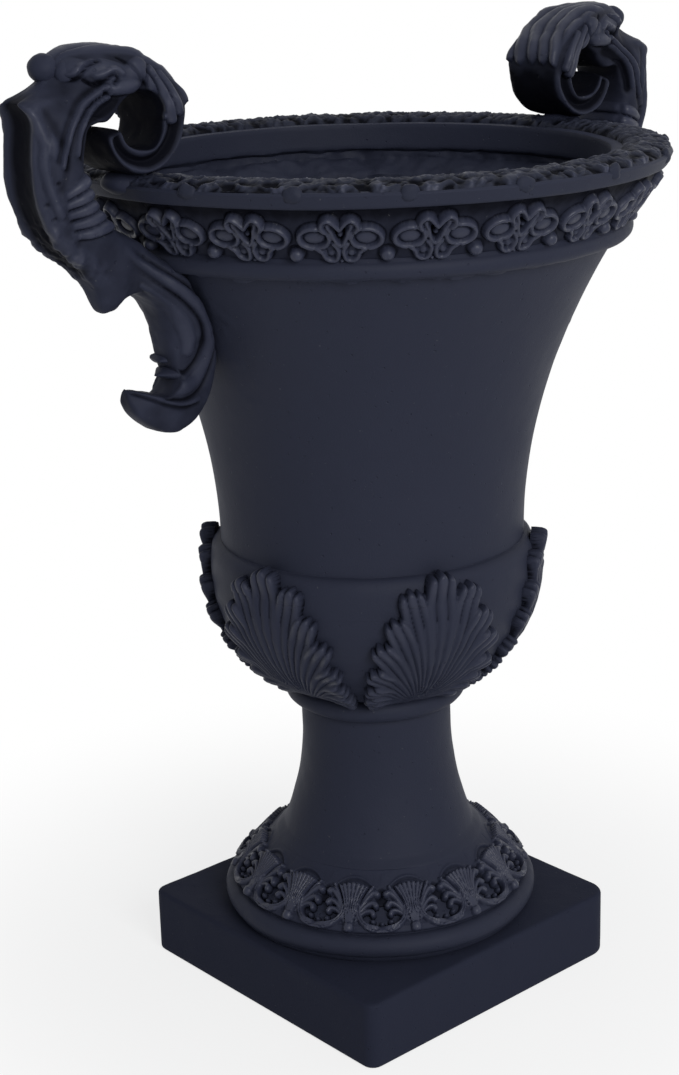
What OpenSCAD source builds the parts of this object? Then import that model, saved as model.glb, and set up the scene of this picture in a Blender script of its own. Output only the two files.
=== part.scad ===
// Cast planter in the shape of a classical urn with two scrolled handles.
// Millimetres, Z up, origin under the middle of the plinth, handles on the X axis.
// The castings stack on each other with rebated joints and one tie rod clamps them.

/* [Plinth and foot] */
// how far the square plinth stands out past the foot
plinth_margin = 12.2; // [8:0.2:30]
// height of the plinth
plinth_h = 57.5; // [50:0.5:70]
// radius of the plinth's upright corners
plinth_corner = 9; // [4:1:20]
// radius of the foot's flat underside
foot_r = 127.8; // [122:0.1:134]
// how far the round bead above it stands out
bead_out = 4.7; // [3:0.1:6]

/* [Stem] */
// least radius of the stem
stem_r = 62.2; // [56:0.2:68]
// height of the joint between stem and bowl, above the ground
neck_z = 258; // [240:1:275]
// how far the collar under the bowl stands out from the stem
collar_out = 12.8; // [11:0.1:14.5]

/* [Bowl and bell] */
// greatest radius of the bowl
cup_r = 132; // [122:0.5:142]
// height of the bowl, from its neck to the joint with the bell
cup_h = 125; // [115:1:135]
// radius of the bell under the frieze
bell_mouth_r = 199; // [185:0.5:215]
// height of the bell, from the bowl to the rim
bell_h = 249; // [230:1:270]
// wall of the castings, measured level
wall = 24; // [20:0.5:28]

/* [Rim] */
// height of the rim, from the bell to its smooth top face
rim_h = 56.7; // [52:0.1:62]
// how far the top face stands out past the bell's mouth
rim_out = 36.7; // [33:0.1:40]
// width of the rim's top face
rim_face = 46.1; // [41:0.1:50]
// depth of the smooth band inside the mouth
lip_h = 22; // [16:1:26]
// height of the leafy crest on the rim
crest_h = 9; // [6:0.5:10.5]

/* [Handles] */
// how far the scroll's eye stands out past the bell's mouth
eye_out = 30; // [28:0.5:32]
// height of the scroll's eye above the joint between bell and rim
eye_up = 99; // [97:0.5:102]
// radius of the hole in the scroll
eye_r = 18; // [15:0.5:20]
// half width of a handle at the scroll
scroll_half = 30; // [24:1:34]

/* [Ornament] */
// acanthus leaves round the bowl
leaf_count = 6; // [6:1:6]
// thickness of a leaf at its ribs
leaf_t = 7.5; // [5:0.5:9]
// palmettes round the foot
palmette_count = 14; // [10:1:14]
// motifs round the frieze, the ones behind the handles left out
motif_count = 21; // [18:1:21]
// how far the motifs stand out of the frieze
motif_t = 4; // [3:0.5:5]
// how far the palmettes stand out of the foot
palmette_t = 5.6; // [4:0.1:7]

/* [Fixings] */
// diameter of the tie rod
rod_d = 12; // [10:1:12]
// diameter of the drain holes
drain_d = 14; // [10:1:14]
// diameter of the handles' dowels
dowel_d = 8; // [6:1:10]

/* [Hidden] */
$fn = 96;

// gap left between a casting and what is laid on its curved face
seat = 0.3;
// gap on each side of a rebate's tongue
rebate_gap = 0.5;
// depth of a rebate's tongue
tongue_h = 8;
// level step between computed points of a turned outline
turn_step = 8;

// Joints, heights and radii that follow from the sizes above
cup_top_z = neck_z + cup_h;
rim_joint_z = cup_top_z + bell_h;
rim_top_z = rim_joint_z + rim_h;
rim_r = bell_mouth_r + rim_out;
mouth_r = rim_r - rim_face;
eye_x = bell_mouth_r + eye_out;
eye_z = rim_joint_z + eye_up;
plinth_side = 2 * (foot_r + plinth_margin);
bead_r = foot_r + bead_out;
collar_r = stem_r + collar_out;
bell_r = cup_r - 8.5;

stone = [0.19, 0.20, 0.25];
stone_dark = [0.16, 0.17, 0.21];
steel = [0.62, 0.63, 0.64];
rubber = [0.10, 0.10, 0.10];

// Turned outlines: the radius of each casting's outer face at a height
bead_z = plinth_h + 12;
bead_minor = 9.5;
foot_edge = [foot_r - 3.8, plinth_h + 23];
slope_low = [foot_edge[0] - 2, foot_edge[1] + 5.5];
slope_top_z = slope_low[1] + 40;
waist_z = neck_z - 43;
collar_minor = 9;
collar_z = neck_z - 8;
cup_z = cup_top_z - 31;
cup_low = cup_h * 0.8752;
cup_high = cup_h * 0.72;
frieze_low = [bell_mouth_r + 6, rim_joint_z + 8];
frieze_high = [rim_r - 7.5, rim_top_z - 13.5];

function stem_at(z) = stem_r + 0.00292 * pow(max(0, waist_z - z), 1.94);
function bell_at(z) = bell_r
    + (bell_mouth_r - bell_r) * pow(max(0, z - cup_top_z) / (rim_joint_z - cup_top_z), 2.04);
function cup_at(z) = cup_r * sqrt(1 - pow((z - cup_z) / (z < cup_z ? cup_low : cup_high), 2));
function cup_inner_at(z) = (cup_r - wall - 2) * sqrt(1 - pow((z - cup_z) / (z < cup_z ? cup_low - wall - 2 : cup_high), 2));
function slope_at(z) = slope_low[0]
    + (stem_at(slope_top_z) - slope_low[0]) * pow((z - slope_low[1]) / (slope_top_z - slope_low[1]), 0.9);
function frieze_at(z) = frieze_low[0]
    + (frieze_high[0] - frieze_low[0]) * (z - frieze_low[1]) / (frieze_high[1] - frieze_low[1]);
function heights(low, high) = let(n = ceil((high - low) / turn_step)) [for (i = [0 : n]) low + (high - low) * i / n];

// Meshes worked out by formula
function joined(shells, field, i = 0, first = 0) = i >= len(shells) ? [] :
    concat(field == 0 ? shells[i][0] : [for (f = shells[i][1]) [for (v = f) v + first]],
        joined(shells, field, i + 1, first + len(shells[i][0])));

module solid_of(shells) {
    polyhedron(points = joined(shells, 0), faces = joined(shells, 1), convexity = 6);
}

// Faces of a closed tube of rings, with a cap at each end
function tube_faces(rings, n) = concat(
    [for (i = [0 : rings - 2], j = [0 : n - 1]) [i * n + j, i * n + (j + 1) % n, (i + 1) * n + j]],
    [for (i = [0 : rings - 2], j = [0 : n - 1]) [i * n + (j + 1) % n, (i + 1) * n + (j + 1) % n, (i + 1) * n + j]],
    [[for (j = [n - 1 : -1 : 0]) j]],
    [[for (j = [0 : n - 1]) (rings - 1) * n + j]]);

// Faces of a closed slab: a grid of rows by n points above and the same below
function slab_faces(rows, n) = let(b = rows * n) concat(
    [for (i = [0 : rows - 2], j = [0 : n - 2]) [i * n + j, (i + 1) * n + j, i * n + j + 1]],
    [for (i = [0 : rows - 2], j = [0 : n - 2]) [i * n + j + 1, (i + 1) * n + j, (i + 1) * n + j + 1]],
    [for (i = [0 : rows - 2], j = [0 : n - 2]) [b + i * n + j, b + i * n + j + 1, b + (i + 1) * n + j]],
    [for (i = [0 : rows - 2], j = [0 : n - 2]) [b + i * n + j + 1, b + (i + 1) * n + j + 1, b + (i + 1) * n + j]],
    [for (j = [0 : n - 2]) [j, j + 1, b + j]],
    [for (j = [0 : n - 2]) [j + 1, b + j + 1, b + j]],
    [for (j = [0 : n - 2]) let(k = (rows - 1) * n + j) [k, b + k, k + 1]],
    [for (j = [0 : n - 2]) let(k = (rows - 1) * n + j) [k + 1, b + k, b + k + 1]],
    [for (i = [0 : rows - 2]) [i * n, b + i * n, (i + 1) * n]],
    [for (i = [0 : rows - 2]) [(i + 1) * n, b + i * n, b + (i + 1) * n]],
    [for (i = [0 : rows - 2]) let(k = i * n + n - 1) [k, k + n, b + k]],
    [for (i = [0 : rows - 2]) let(k = i * n + n - 1) [k + n, b + k + n, b + k]]);

// Faces of a closed badge: an edge ring, the same ring lifted, a smaller ring on top and both middles
function badge_faces(n) = concat(
    [for (j = [0 : n - 1]) [j, (j + 1) % n, n + j]],
    [for (j = [0 : n - 1]) [(j + 1) % n, n + (j + 1) % n, n + j]],
    [for (j = [0 : n - 1]) [n + j, n + (j + 1) % n, 2 * n + j]],
    [for (j = [0 : n - 1]) [n + (j + 1) % n, 2 * n + (j + 1) % n, 2 * n + j]],
    [for (j = [0 : n - 1]) [2 * n + j, 2 * n + (j + 1) % n, 3 * n]],
    [for (j = [0 : n - 1]) [(j + 1) % n, j, 3 * n + 1]]);

// Point at an angle on a turned face, lifted off it along the outline's normal
function lifted(th, r, z, slope, lift) = let(k = lift / norm([1, slope]))
    [(r + k) * cos(th), (r + k) * sin(th), z - k * slope];

module plinth() {
    // soft arrises on the long edges, a shallow relief and a nut recess below
    arris = 3;
    recess_r = foot_tongue_r - 16;
    recess_h = 5;
    color(stone_dark)
    difference() {
        intersection() {
            linear_extrude(height = plinth_h)
                rounded_square(plinth_side, plinth_corner);
            arris_prism(plinth_side, plinth_h, arris);
            rotate([0, 0, 90])
                arris_prism(plinth_side, plinth_h, arris);
        }
        translate([0, 0, plinth_h - tongue_h - rebate_gap])
            cylinder(h = tongue_h + 1, r = foot_tongue_r + rebate_gap);
        translate([0, 0, -1])
            cylinder(h = recess_h + 1, r = recess_r);
        translate([0, 0, -1])
            cylinder(h = nut_seat_z + 1, r = washer_r + 3);
        cylinder(h = plinth_h, d = rod_d + 2);
        for (k = [0 : 2])
            rotate([0, 0, 30 + 120 * k])
                translate([foot_tongue_r * 0.577, 0, 0])
                    cylinder(h = plinth_h, d = drain_d);
    }
}

module rounded_square(side, r) {
    square([side - 2 * r, side], center = true);
    square([side, side - 2 * r], center = true);
    for (x = [-1, 1], y = [-1, 1])
        translate([x * (side / 2 - r), y * (side / 2 - r)])
            circle(r = r);
}

module arris_prism(side, h, c) {
    rotate([90, 0, 0])
        translate([0, 0, -side])
            linear_extrude(height = 2 * side)
                polygon([[-side / 2 + c / 2, 0], [side / 2 - c / 2, 0], [side / 2, c / 2], [side / 2, h - c],
                    [side / 2 - c, h], [-side / 2 + c, h], [-side / 2, h - c], [-side / 2, c / 2]]);
}

foot_tongue_r = foot_r - 23.8;
core_r = stem_r - 24.2;
neck_tongue_r = stem_r - 14.2;

module pedestal() {
    // foot, stem and collar in one hollow casting, tongued into the plinth and into the bowl
    slope_z = heights(slope_low[1], slope_top_z);
    stem_z = heights(slope_top_z, collar_z - collar_minor);
    core_z = heights(plinth_h + 10, waist_z);
    color(stone)
    rotate_extrude()
        difference() {
            union() {
                polygon(concat(
                    [[0, plinth_h], [foot_r, plinth_h], [foot_r, bead_z - 6], [bead_r - bead_minor, foot_edge[1] - 2],
                        foot_edge, slope_low],
                    [for (z = slope_z) [slope_at(z), z]],
                    [for (z = stem_z) [stem_at(z), z]],
                    [[collar_r - collar_minor, collar_z], [collar_r - collar_minor, neck_z], [0, neck_z]]));
                translate([bead_r - bead_minor, bead_z])
                    circle(r = bead_minor);
                intersection() {
                    translate([collar_r - collar_minor, collar_z])
                        circle(r = collar_minor);
                    square([collar_r, neck_z]);
                }
                translate([0, plinth_h - tongue_h])
                    square([foot_tongue_r, tongue_h + 1]);
                translate([0, neck_z - 1])
                    square([neck_tongue_r, tongue_h + 1]);
            }
            polygon(concat(
                [[0, 0], [foot_tongue_r - 16, 0], [foot_tongue_r - 16, plinth_h + 10]],
                [for (z = core_z) [max(core_r, stem_at(z) * 1.15 - wall - 8), z]],
                [[core_r, neck_z + tongue_h + 1], [0, neck_z + tongue_h + 1]]));
        }
}

floor_z = neck_z + 42;
cup_tongue_r = bell_r - 12.5;

module bowl_cup() {
    outer_z = heights(neck_z + 1, cup_top_z);
    inner_z = heights(floor_z, cup_top_z - tongue_h - rebate_gap);
    color(stone)
    difference() {
        rotate_extrude()
            difference() {
                polygon(concat([[0, neck_z]], [for (z = outer_z) [cup_at(z), z]], [[0, cup_top_z]]));
                polygon(concat([[0, floor_z]], [for (z = inner_z) [cup_inner_at(z), z]],
                    [[0, cup_top_z - tongue_h - rebate_gap]]));
                translate([0, cup_top_z - tongue_h - rebate_gap])
                    square([cup_tongue_r + rebate_gap, tongue_h + 1]);
                square([neck_tongue_r + rebate_gap, neck_z + tongue_h + rebate_gap]);
            }
        cylinder(h = cup_top_z, d = rod_d + 2);
        for (k = [0 : 2])
            rotate([0, 0, 90 + 120 * k])
                translate([core_r - drain_d / 2 - 1, 0, 0])
                    cylinder(h = cup_top_z, d = drain_d);
    }
}

rim_tongue = [bell_mouth_r - 18, bell_mouth_r - 10];
dowel_z = [rim_joint_z - 76, rim_joint_z - 36];
dowel_in = 15;
dowel_out = 19;

module bell_body() {
    // trumpet-shaped casting, a parabola outside and in, with blind holes for the handles' dowels
    bell_z = heights(cup_top_z, rim_joint_z);
    color(stone)
    difference() {
        rotate_extrude()
            union() {
                polygon(concat(
                    [for (z = bell_z) [bell_at(z), z]],
                    [for (i = [len(bell_z) - 1 : -1 : 0]) [bell_at(bell_z[i]) - wall, bell_z[i]]]));
                translate([bell_r - wall + 1, cup_top_z - tongue_h])
                    square([cup_tongue_r - bell_r + wall - 1, tongue_h + 1]);
                translate([rim_tongue[0], rim_joint_z - 1])
                    square([rim_tongue[1] - rim_tongue[0], tongue_h + 1]);
            }
        dowel_holes();
    }
}

module dowel_holes() {
    for (side = [0, 180], z = dowel_z)
        rotate([0, 0, side])
            translate([bell_at(z) - dowel_in - 1, 0, z])
                rotate([0, 90, 0])
                    cylinder(h = dowel_in + dowel_out + 2, r = dowel_d / 2 + 0.2);
}

module rim_ring() {
    // frieze, plain fascia, top face and smooth inner lip with the undercut behind it
    lip_z = rim_top_z - lip_h;
    color(stone)
    rotate_extrude()
        difference() {
            polygon([
                [bell_mouth_r - wall + 1, rim_joint_z], [bell_mouth_r + 5, rim_joint_z],
                [bell_mouth_r + 7, rim_joint_z + 2], [bell_mouth_r + 7.5, rim_joint_z + 5],
                [bell_mouth_r + 6.5, rim_joint_z + 7], frieze_low, frieze_high,
                [rim_r - 5, frieze_high[1] + 1], [rim_r - 4, frieze_high[1] + 2.5],
                [rim_r, rim_top_z - 1.5], [rim_r - 1.5, rim_top_z],
                [mouth_r + 1.5, rim_top_z], [mouth_r, rim_top_z - 1.5], [mouth_r, lip_z + 1.5],
                [mouth_r + 1.5, lip_z], [mouth_r + 6, lip_z - 2], [mouth_r + 6, lip_z - 9],
                [bell_mouth_r - wall + 1, rim_joint_z + tongue_h + 4]]);
            translate([rim_tongue[0] - rebate_gap, rim_joint_z - 1])
                square([rim_tongue[1] - rim_tongue[0] + 2 * rebate_gap, tongue_h + 1 + rebate_gap]);
        }
}

crest_lobes = 42;
crest_steps = 3;

module rim_crest() {
    // ring of overlapping leaf tips laid on the top face, scalloped outside and ragged inside
    n = crest_lobes * crest_steps;
    outline = [
        [mouth_r + rim_face * 0.195, 0, 0, 0], [mouth_r + rim_face * 0.174, crest_h * 0.45, 2, 0.8],
        [mouth_r + rim_face * 0.477, crest_h * 0.9, 2.5, 1], [rim_r - rim_face * 0.13, crest_h * 0.75, 2, 1.2],
        [rim_r + rim_face * 0.087, crest_h * 0.4, 2.8, 0.8], [rim_r - rim_face * 0.054, 0, 0, 0]];
    m = len(outline);
    rings = [for (k = [0 : n - 1], p = outline)
        let(th = 360 * k / n, wave = cos(360 * k / crest_steps), swell = cos(th * 13 + p[0] * 40))
            [(p[0] + p[2] * wave) * cos(th), (p[0] + p[2] * wave) * sin(th), rim_top_z + p[1] + p[3] * (wave + swell) / 2]];
    color(stone)
    polyhedron(points = rings, convexity = 6, faces = concat(
        [for (k = [0 : n - 1], j = [0 : m - 1]) [k * m + j, k * m + (j + 1) % m, ((k + 1) % n) * m + j]],
        [for (k = [0 : n - 1], j = [0 : m - 1])
            [k * m + (j + 1) % m, ((k + 1) % n) * m + (j + 1) % m, ((k + 1) % n) * m + j]]));
}

// Stations of a handle from its curled tail to its crown, each across the scroll and measured from the
// bell's upper edge: inner edge x and z, outer edge x and z, half width at the inner and at the outer edge
function on_bell(z) = bell_at(z + rim_joint_z) + seat - bell_mouth_r;
stations = [
    [33, -91, 35, -90, 3, 3], [24, -94, 34, -103, 9, 8], [14, -97, 26, -115, 14, 12],
    [6, -99, 13, -126, 16, 14], [0, -95, -4, -132, 17, 15], [-3, -87, -24, -122, 18, 16]];
band = [
    [on_bell(-104), -104, -1, -80, 18, 15], [on_bell(-89), -89, 1, -74, 18, 15],
    [on_bell(-72), -72, 1, -60, 18, 15], [on_bell(-54), -54, 4, -46, 18, 15],
    [on_bell(-36), -36, 11, -34, 18, 14], [on_bell(-22), -22, 19, -24, 18, 14],
    [on_bell(-10), -10, 28, -20, 18, 12], [18, 10, 34, -23, 18, 9], [24, 16, 43, -31, 18, 9],
    [30, 20, 53, -30, 19, 9], [37, 25, 59, -12, 20, 12], [48, 35, 73, 1, 23, 15],
    [59, 46, 90, 16, 26, 17], [68, 59, 102, 35, 29, 18], [73, 74, 109, 57, 30, 19],
    [74, 90, 110, 80, 30, 19], [71, 104, 108, 104, 30, 18], [64, 113, 113, 119, 30, 13],
    [54, 119, 93, 131, 30, 9], [45, 120, 95, 147, 30, 10], [39, 119, 69, 152, 30, 17]];
// outer radius of the scroll against the angle round its eye, and the half width there
scroll_radius = [[70, 54], [83, 51], [103, 43], [127, 41], [154, 43], [174, 40], [211, 38], [254, 32], [300, 27.5], [330, 22]];
scroll_width = [[70, 1], [300, 1], [330, 0.75]];
ring_points = 16;
scroll_steps = 18;
between = 2;

function spline(a, b, c, d, t) = 0.5 * (2 * b + (c - a) * t + (2 * a - 5 * b + 4 * c - d) * t * t
    + (3 * b - a - 3 * c + d) * t * t * t);

// the tail's two edges swap sides where it leaves the bell, so its stations name them the other way round
tail_and_band = [for (s = concat([for (s = stations) [s[2], s[3], s[0], s[1], s[5], s[4]]], band))
    [s[0] + bell_mouth_r, s[1] + rim_joint_z, s[2] + bell_mouth_r, s[3] + rim_joint_z, s[4], s[5]]];
scroll_ring = [for (i = [0 : scroll_steps])
    let(a = 80 + 250 * i / scroll_steps, ro = lookup(a, scroll_radius), w = scroll_half * lookup(a, scroll_width))
        [eye_x + eye_r * cos(a), eye_z + eye_r * sin(a), eye_x + ro * cos(a), eye_z + ro * sin(a), w, w]];

function smoothed(s) = [for (i = [0 : len(s) - 2], k = [0 : between - 1])
    spline(s[max(0, i - 1)], s[i], s[i + 1], s[min(len(s) - 1, i + 2)], k / between)];

function scroll_section(s) = [for (j = [0 : ring_points - 1])
    let(c = cos(360 * j / ring_points), v = sin(360 * j / ring_points),
        u = (1 + sign(c) * pow(abs(c), 0.7)) / 2,
        w = (s[4] * (1 - u) + s[5] * u) * sign(v) * pow(abs(v), 0.7))
        [s[0] + (s[2] - s[0]) * u, w, s[1] + (s[3] - s[1]) * u]];

// a station may not cut into the bell, so its points are held outside the bell's face
function kept_out(p) = let(r = p[2] < rim_joint_z ? bell_at(p[2]) + seat : 0, y = p[1])
    [max(p[0], r > abs(y) ? sqrt(r * r - y * y) : 0), y, p[2]];

module scroll_handle() {
    path = concat(smoothed(concat(tail_and_band, [scroll_ring[0]])), scroll_ring);
    difference() {
        polyhedron(points = [for (s = path, p = scroll_section(s)) kept_out(p)], faces = tube_faces(len(path), ring_points),
            convexity = 10);
        for (z = dowel_z)
            translate([bell_at(z) - 1, 0, z])
                rotate([0, 90, 0])
                    cylinder(h = dowel_out + 2, r = dowel_d / 2 + 0.2);
    }
}

module handle_left() {
    color(stone)
    rotate([0, 0, 180])
        scroll_handle();
}

module handle_right() {
    color(stone)
    scroll_handle();
}

module handle_dowels() {
    color(steel)
    for (side = [0, 180], z = dowel_z)
        rotate([0, 0, side])
            translate([bell_at(z) - dowel_in, 0, z])
                rotate([0, 90, 0])
                    cylinder(h = dowel_in + dowel_out, d = dowel_d);
}

// Outline of an acanthus leaf as a fan: angle of each lobe from the middle rib and its length
leaf_lobes = [[-76, 26], [-62, 46], [-50, 70], [-39, 92], [-29, 110], [-20, 126], [-10, 140], [0, 146],
    [10, 140], [20, 126], [29, 110], [39, 92], [50, 70], [62, 46], [76, 26]];
leaf_first_angle = 10;
leaf_base_z = neck_z + 3;
leaf_rows = 5;
// lift of the leaf's corners, so that its flat facets clear the round bowl by the seat
leaf_seat = seat + 1.2;

// height on the bowl at a distance along its outline from the leaf's base
cup_walk = [for (z = heights(leaf_base_z, cup_top_z + 10)) z];
// the leaves follow the bowl up to here and stand straight up above it
leaf_free_z = cup_z + 10;
// the lobes' lengths are those for a bowl 125 high
leaf_scale = cup_h / 125;
function cup_face(z) = cup_at(min(z, leaf_free_z));
function walked(i) = i == 0 ? 0 :
    walked(i - 1) + norm([cup_walk[i] - cup_walk[i - 1], cup_face(cup_walk[i]) - cup_face(cup_walk[i - 1])]);
cup_table = [for (i = [0 : len(cup_walk) - 1]) [walked(i), cup_walk[i]]];

function leaf_ray(j) = let(k = floor(j / 2), a = leaf_lobes[k], b = leaf_lobes[min(len(leaf_lobes) - 1, k + 1)])
    j % 2 == 0 ? [a[0], a[1], 1] : [(a[0] + b[0]) / 2, (a[1] + b[1]) / 2 * 0.86, 0.35];

function leaf_point(mid, ray, s, lift) =
    let(reach = ray[1] * s * leaf_scale, m = reach * cos(ray[0]), x = reach * sin(ray[0]), z = lookup(max(0, m), cup_table),
        slope = (cup_face(z + 1) - cup_face(z - 1)) / 2, r = cup_face(z))
        lifted(mid + x / (cup_r * 0.35 + r * 0.65) * 57.3, r, z, z > cup_z ? 0 : slope, lift);

function leaf_shell(mid) = let(n = 2 * len(leaf_lobes) - 1,
    top = [for (i = [0 : leaf_rows - 1], j = [0 : n - 1])
        let(s = 0.16 + 0.84 * i / (leaf_rows - 1), ray = leaf_ray(j))
            leaf_point(mid, ray, s, leaf_seat + 1.2 + leaf_t * pow(s, 0.6) * (0.45 + 0.55 * ray[2]))],
    under = [for (i = [0 : leaf_rows - 1], j = [0 : n - 1])
        leaf_point(mid, leaf_ray(j), 0.16 + 0.84 * i / (leaf_rows - 1), leaf_seat)])
    [concat(top, under), slab_faces(leaf_rows, n)];

module acanthus_leaves() {
    color(stone)
    solid_of([for (k = [0 : leaf_count - 1]) leaf_shell(leaf_first_angle + 360 / leaf_count * k)]);
}

// Palmette: a shell of nine ribs standing on a small foot, and the loop that joins it to the next
palmette_first_angle = 215.3;
palmette_h = 38;
palmette_half = 12.5;
palmette_points = 14;
// palmettes and loops start this far above the slope's lower edge
garland_low = 2;
function slope_point(mid, a, h, lift) =
    let(z = slope_low[1] + garland_low + h * 0.72, r = slope_at(z), slope = slope_at(z + 0.5) - slope_at(z - 0.5))
        lifted(mid + a / r * 57.3, r, z, slope, lift);
function palmette_edge(j) = let(t = 360 * j / palmette_points, lobe = 1 + (j % 2 == 0 ? 0.08 : -0.08))
    [palmette_half * sin(t) * lobe * (cos(t) < -0.5 ? 0.45 : 1), palmette_h * (0.52 + 0.46 * cos(t) * (cos(t) > 0 ? lobe : 1))];
function palmette_shell(mid) = let(n = palmette_points, c = [0, palmette_h * 0.5]) [
    concat(
        [for (j = [0 : n - 1]) let(p = palmette_edge(j)) slope_point(mid, p[0], p[1], 2 * seat)],
        [for (j = [0 : n - 1]) let(p = palmette_edge(j)) slope_point(mid, p[0], p[1], palmette_t / 2)],
        [for (j = [0 : n - 1]) let(p = c + (palmette_edge(j) - c) * 0.6)
            slope_point(mid, p[0], p[1], palmette_t * (j % 2 == 0 ? 1 : 0.75))],
        [slope_point(mid, c[0], c[1], palmette_t * 0.9), slope_point(mid, c[0], c[1], 2 * seat)]),
    badge_faces(n)];

loop_sides = 6;
loop_steps = 8;
// half width of a loop, its depth below its ends, its cord's radius and how far round each side it runs
loop_half = 180 / palmette_count * slope_low[0] / 57.3 - 1.32 * palmette_half;
loop_h = 12;
loop_cord = 2.2;
loop_turn = 100;
function loop_shell(mid) = [
    [for (i = [0 : loop_steps], j = [0 : loop_sides - 1])
        let(t = loop_turn * (2 * i / loop_steps - 1), w = loop_cord * (1 - 0.35 * abs(t) / loop_turn),
            b = 360 * j / loop_sides, grow = 1 + w * cos(b) / loop_h,
            a = loop_half * sin(t) * grow, h = loop_h * (1.25 - cos(t) * grow))
            slope_point(mid, a, h, 2 * seat + w + w * sin(b))],
    tube_faces(loop_steps + 1, loop_sides)];

module foot_palmettes() {
    step = 360 / palmette_count;
    color(stone)
    solid_of(concat(
        [for (k = [0 : palmette_count - 1]) palmette_shell(palmette_first_angle + step * k)],
        [for (k = [0 : palmette_count - 1]) loop_shell(palmette_first_angle + step * (k + 0.5))]));
}

// Frieze motif: a pair of side loops, a heart on top and a small drop below
motif_first_angle = 206.2;
motif_points = 16;
handle_clear = 15;
motif_mid_z = (frieze_low[1] + frieze_high[1]) / 2;
// half width of a motif, and its outline as a share of it against the angle
motif_half = 28;
motif_reach = [[0, 1], [22, 0.8], [45, 0.68], [67, 0.66], [90, 0.48], [112, 0.66], [135, 0.68], [157, 0.8], [180, 1],
    [202, 0.76], [225, 0.54], [247, 0.56], [270, 0.6], [292, 0.56], [315, 0.54], [337, 0.76], [360, 1]];
function frieze_point(mid, a, h, lift) =
    let(z = motif_mid_z + h, r = frieze_at(z), slope = frieze_at(z + 0.5) - frieze_at(z - 0.5))
        lifted(mid + a / r * 57.3, r, z, slope, lift);
function motif_edge(j) = let(t = 360 * j / motif_points, d = motif_half * lookup(t, motif_reach)) [d * cos(t), d * sin(t) * 0.94];
function motif_shell(mid) = let(n = motif_points) [
    concat(
        [for (j = [0 : n - 1]) let(p = motif_edge(n - 1 - j)) frieze_point(mid, p[0], p[1], 1.5 * seat)],
        [for (j = [0 : n - 1]) let(p = motif_edge(n - 1 - j)) frieze_point(mid, p[0], p[1], motif_t * 0.6)],
        [for (j = [0 : n - 1]) let(p = 0.66 * motif_edge(n - 1 - j)) frieze_point(mid, p[0], p[1], motif_t)],
        [frieze_point(mid, 0, 0, motif_t * 0.7), frieze_point(mid, 0, 0, 1.5 * seat)]),
    badge_faces(n)];
motif_angles = [for (k = [0 : motif_count - 1]) (motif_first_angle + 360 / motif_count * k) % 360];
function off_handle(a) = min(abs(a), abs(a - 180), abs(a - 360));

module frieze_motifs() {
    color(stone)
    solid_of([for (a = motif_angles) if (off_handle(a) > 12) motif_shell(a)]);
}

module frieze_beads() {
    bead = 5.5;
    z = frieze_low[1] + 7;
    tilt = atan((frieze_high[0] - frieze_low[0]) / (frieze_high[1] - frieze_low[1]));
    color(stone)
    for (a = motif_angles)
        if (off_handle(a + 180 / motif_count) > 8)
            rotate([0, 0, a + 180 / motif_count])
                translate([frieze_at(z) + seat, 0, z])
                    rotate([0, tilt, 0])
                        intersection() {
                            sphere(r = bead);
                            translate([0, -bead - 1, -bead - 1])
                                cube(2 * bead + 2);
                        }
}

// Tie rod and what clamps it, from the recess under the plinth to the bowl's floor
washer_r = 26;
washer_h = 4;
nut_h = 10;
nut_across = 19;
seal_h = 4;
nut_seat_z = 28;
rod_low_z = nut_seat_z - washer_h - nut_h - 6;
rod_high_z = floor_z + seal_h + washer_h + nut_h + 8;

module tie_rod() {
    color(steel)
    translate([0, 0, rod_low_z])
        cylinder(h = rod_high_z - rod_low_z, d = rod_d);
}

module tie_nuts() {
    color(steel)
    for (z = [nut_seat_z - washer_h - nut_h, floor_z + seal_h + washer_h])
        translate([0, 0, z])
            difference() {
                cylinder(h = nut_h, d = nut_across / cos(30), $fn = 6);
                translate([0, 0, -1])
                    cylinder(h = nut_h + 2, r = rod_d / 2 + 0.1);
            }
}

module tie_washers() {
    color(steel)
    for (z = [nut_seat_z - washer_h, floor_z + seal_h])
        translate([0, 0, z])
            washer(washer_h, washer_r);
}

module washer(h, r) {
    difference() {
        cylinder(h = h, r = r);
        translate([0, 0, -1])
            cylinder(h = h + 2, r = rod_d / 2 + 0.5);
    }
}

module tie_seal() {
    color(rubber)
    translate([0, 0, floor_z])
        washer(seal_h, washer_r - 3);
}

plinth();
pedestal();
bowl_cup();
bell_body();
rim_ring();
rim_crest();
handle_left();
handle_right();
acanthus_leaves();
foot_palmettes();
frieze_motifs();
frieze_beads();
handle_dowels();
tie_rod();
tie_nuts();
tie_washers();
tie_seal();
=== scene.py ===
"""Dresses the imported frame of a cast-stone urn planter.

The turned castings, the carved bands, the acanthus leaves and the scrolled handles are built as new
pieces over the construction model, every surface gets its finish, and a plain studio is set round it.
Sizes are in millimetres until a mesh is written, and the axes are those of the construction model.
"""

import logging
import math
from collections.abc import Callable, Sequence
from dataclasses import dataclass
from enum import Enum

import bmesh
import bpy
import numpy as np
from mathutils import Matrix, Vector


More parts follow.
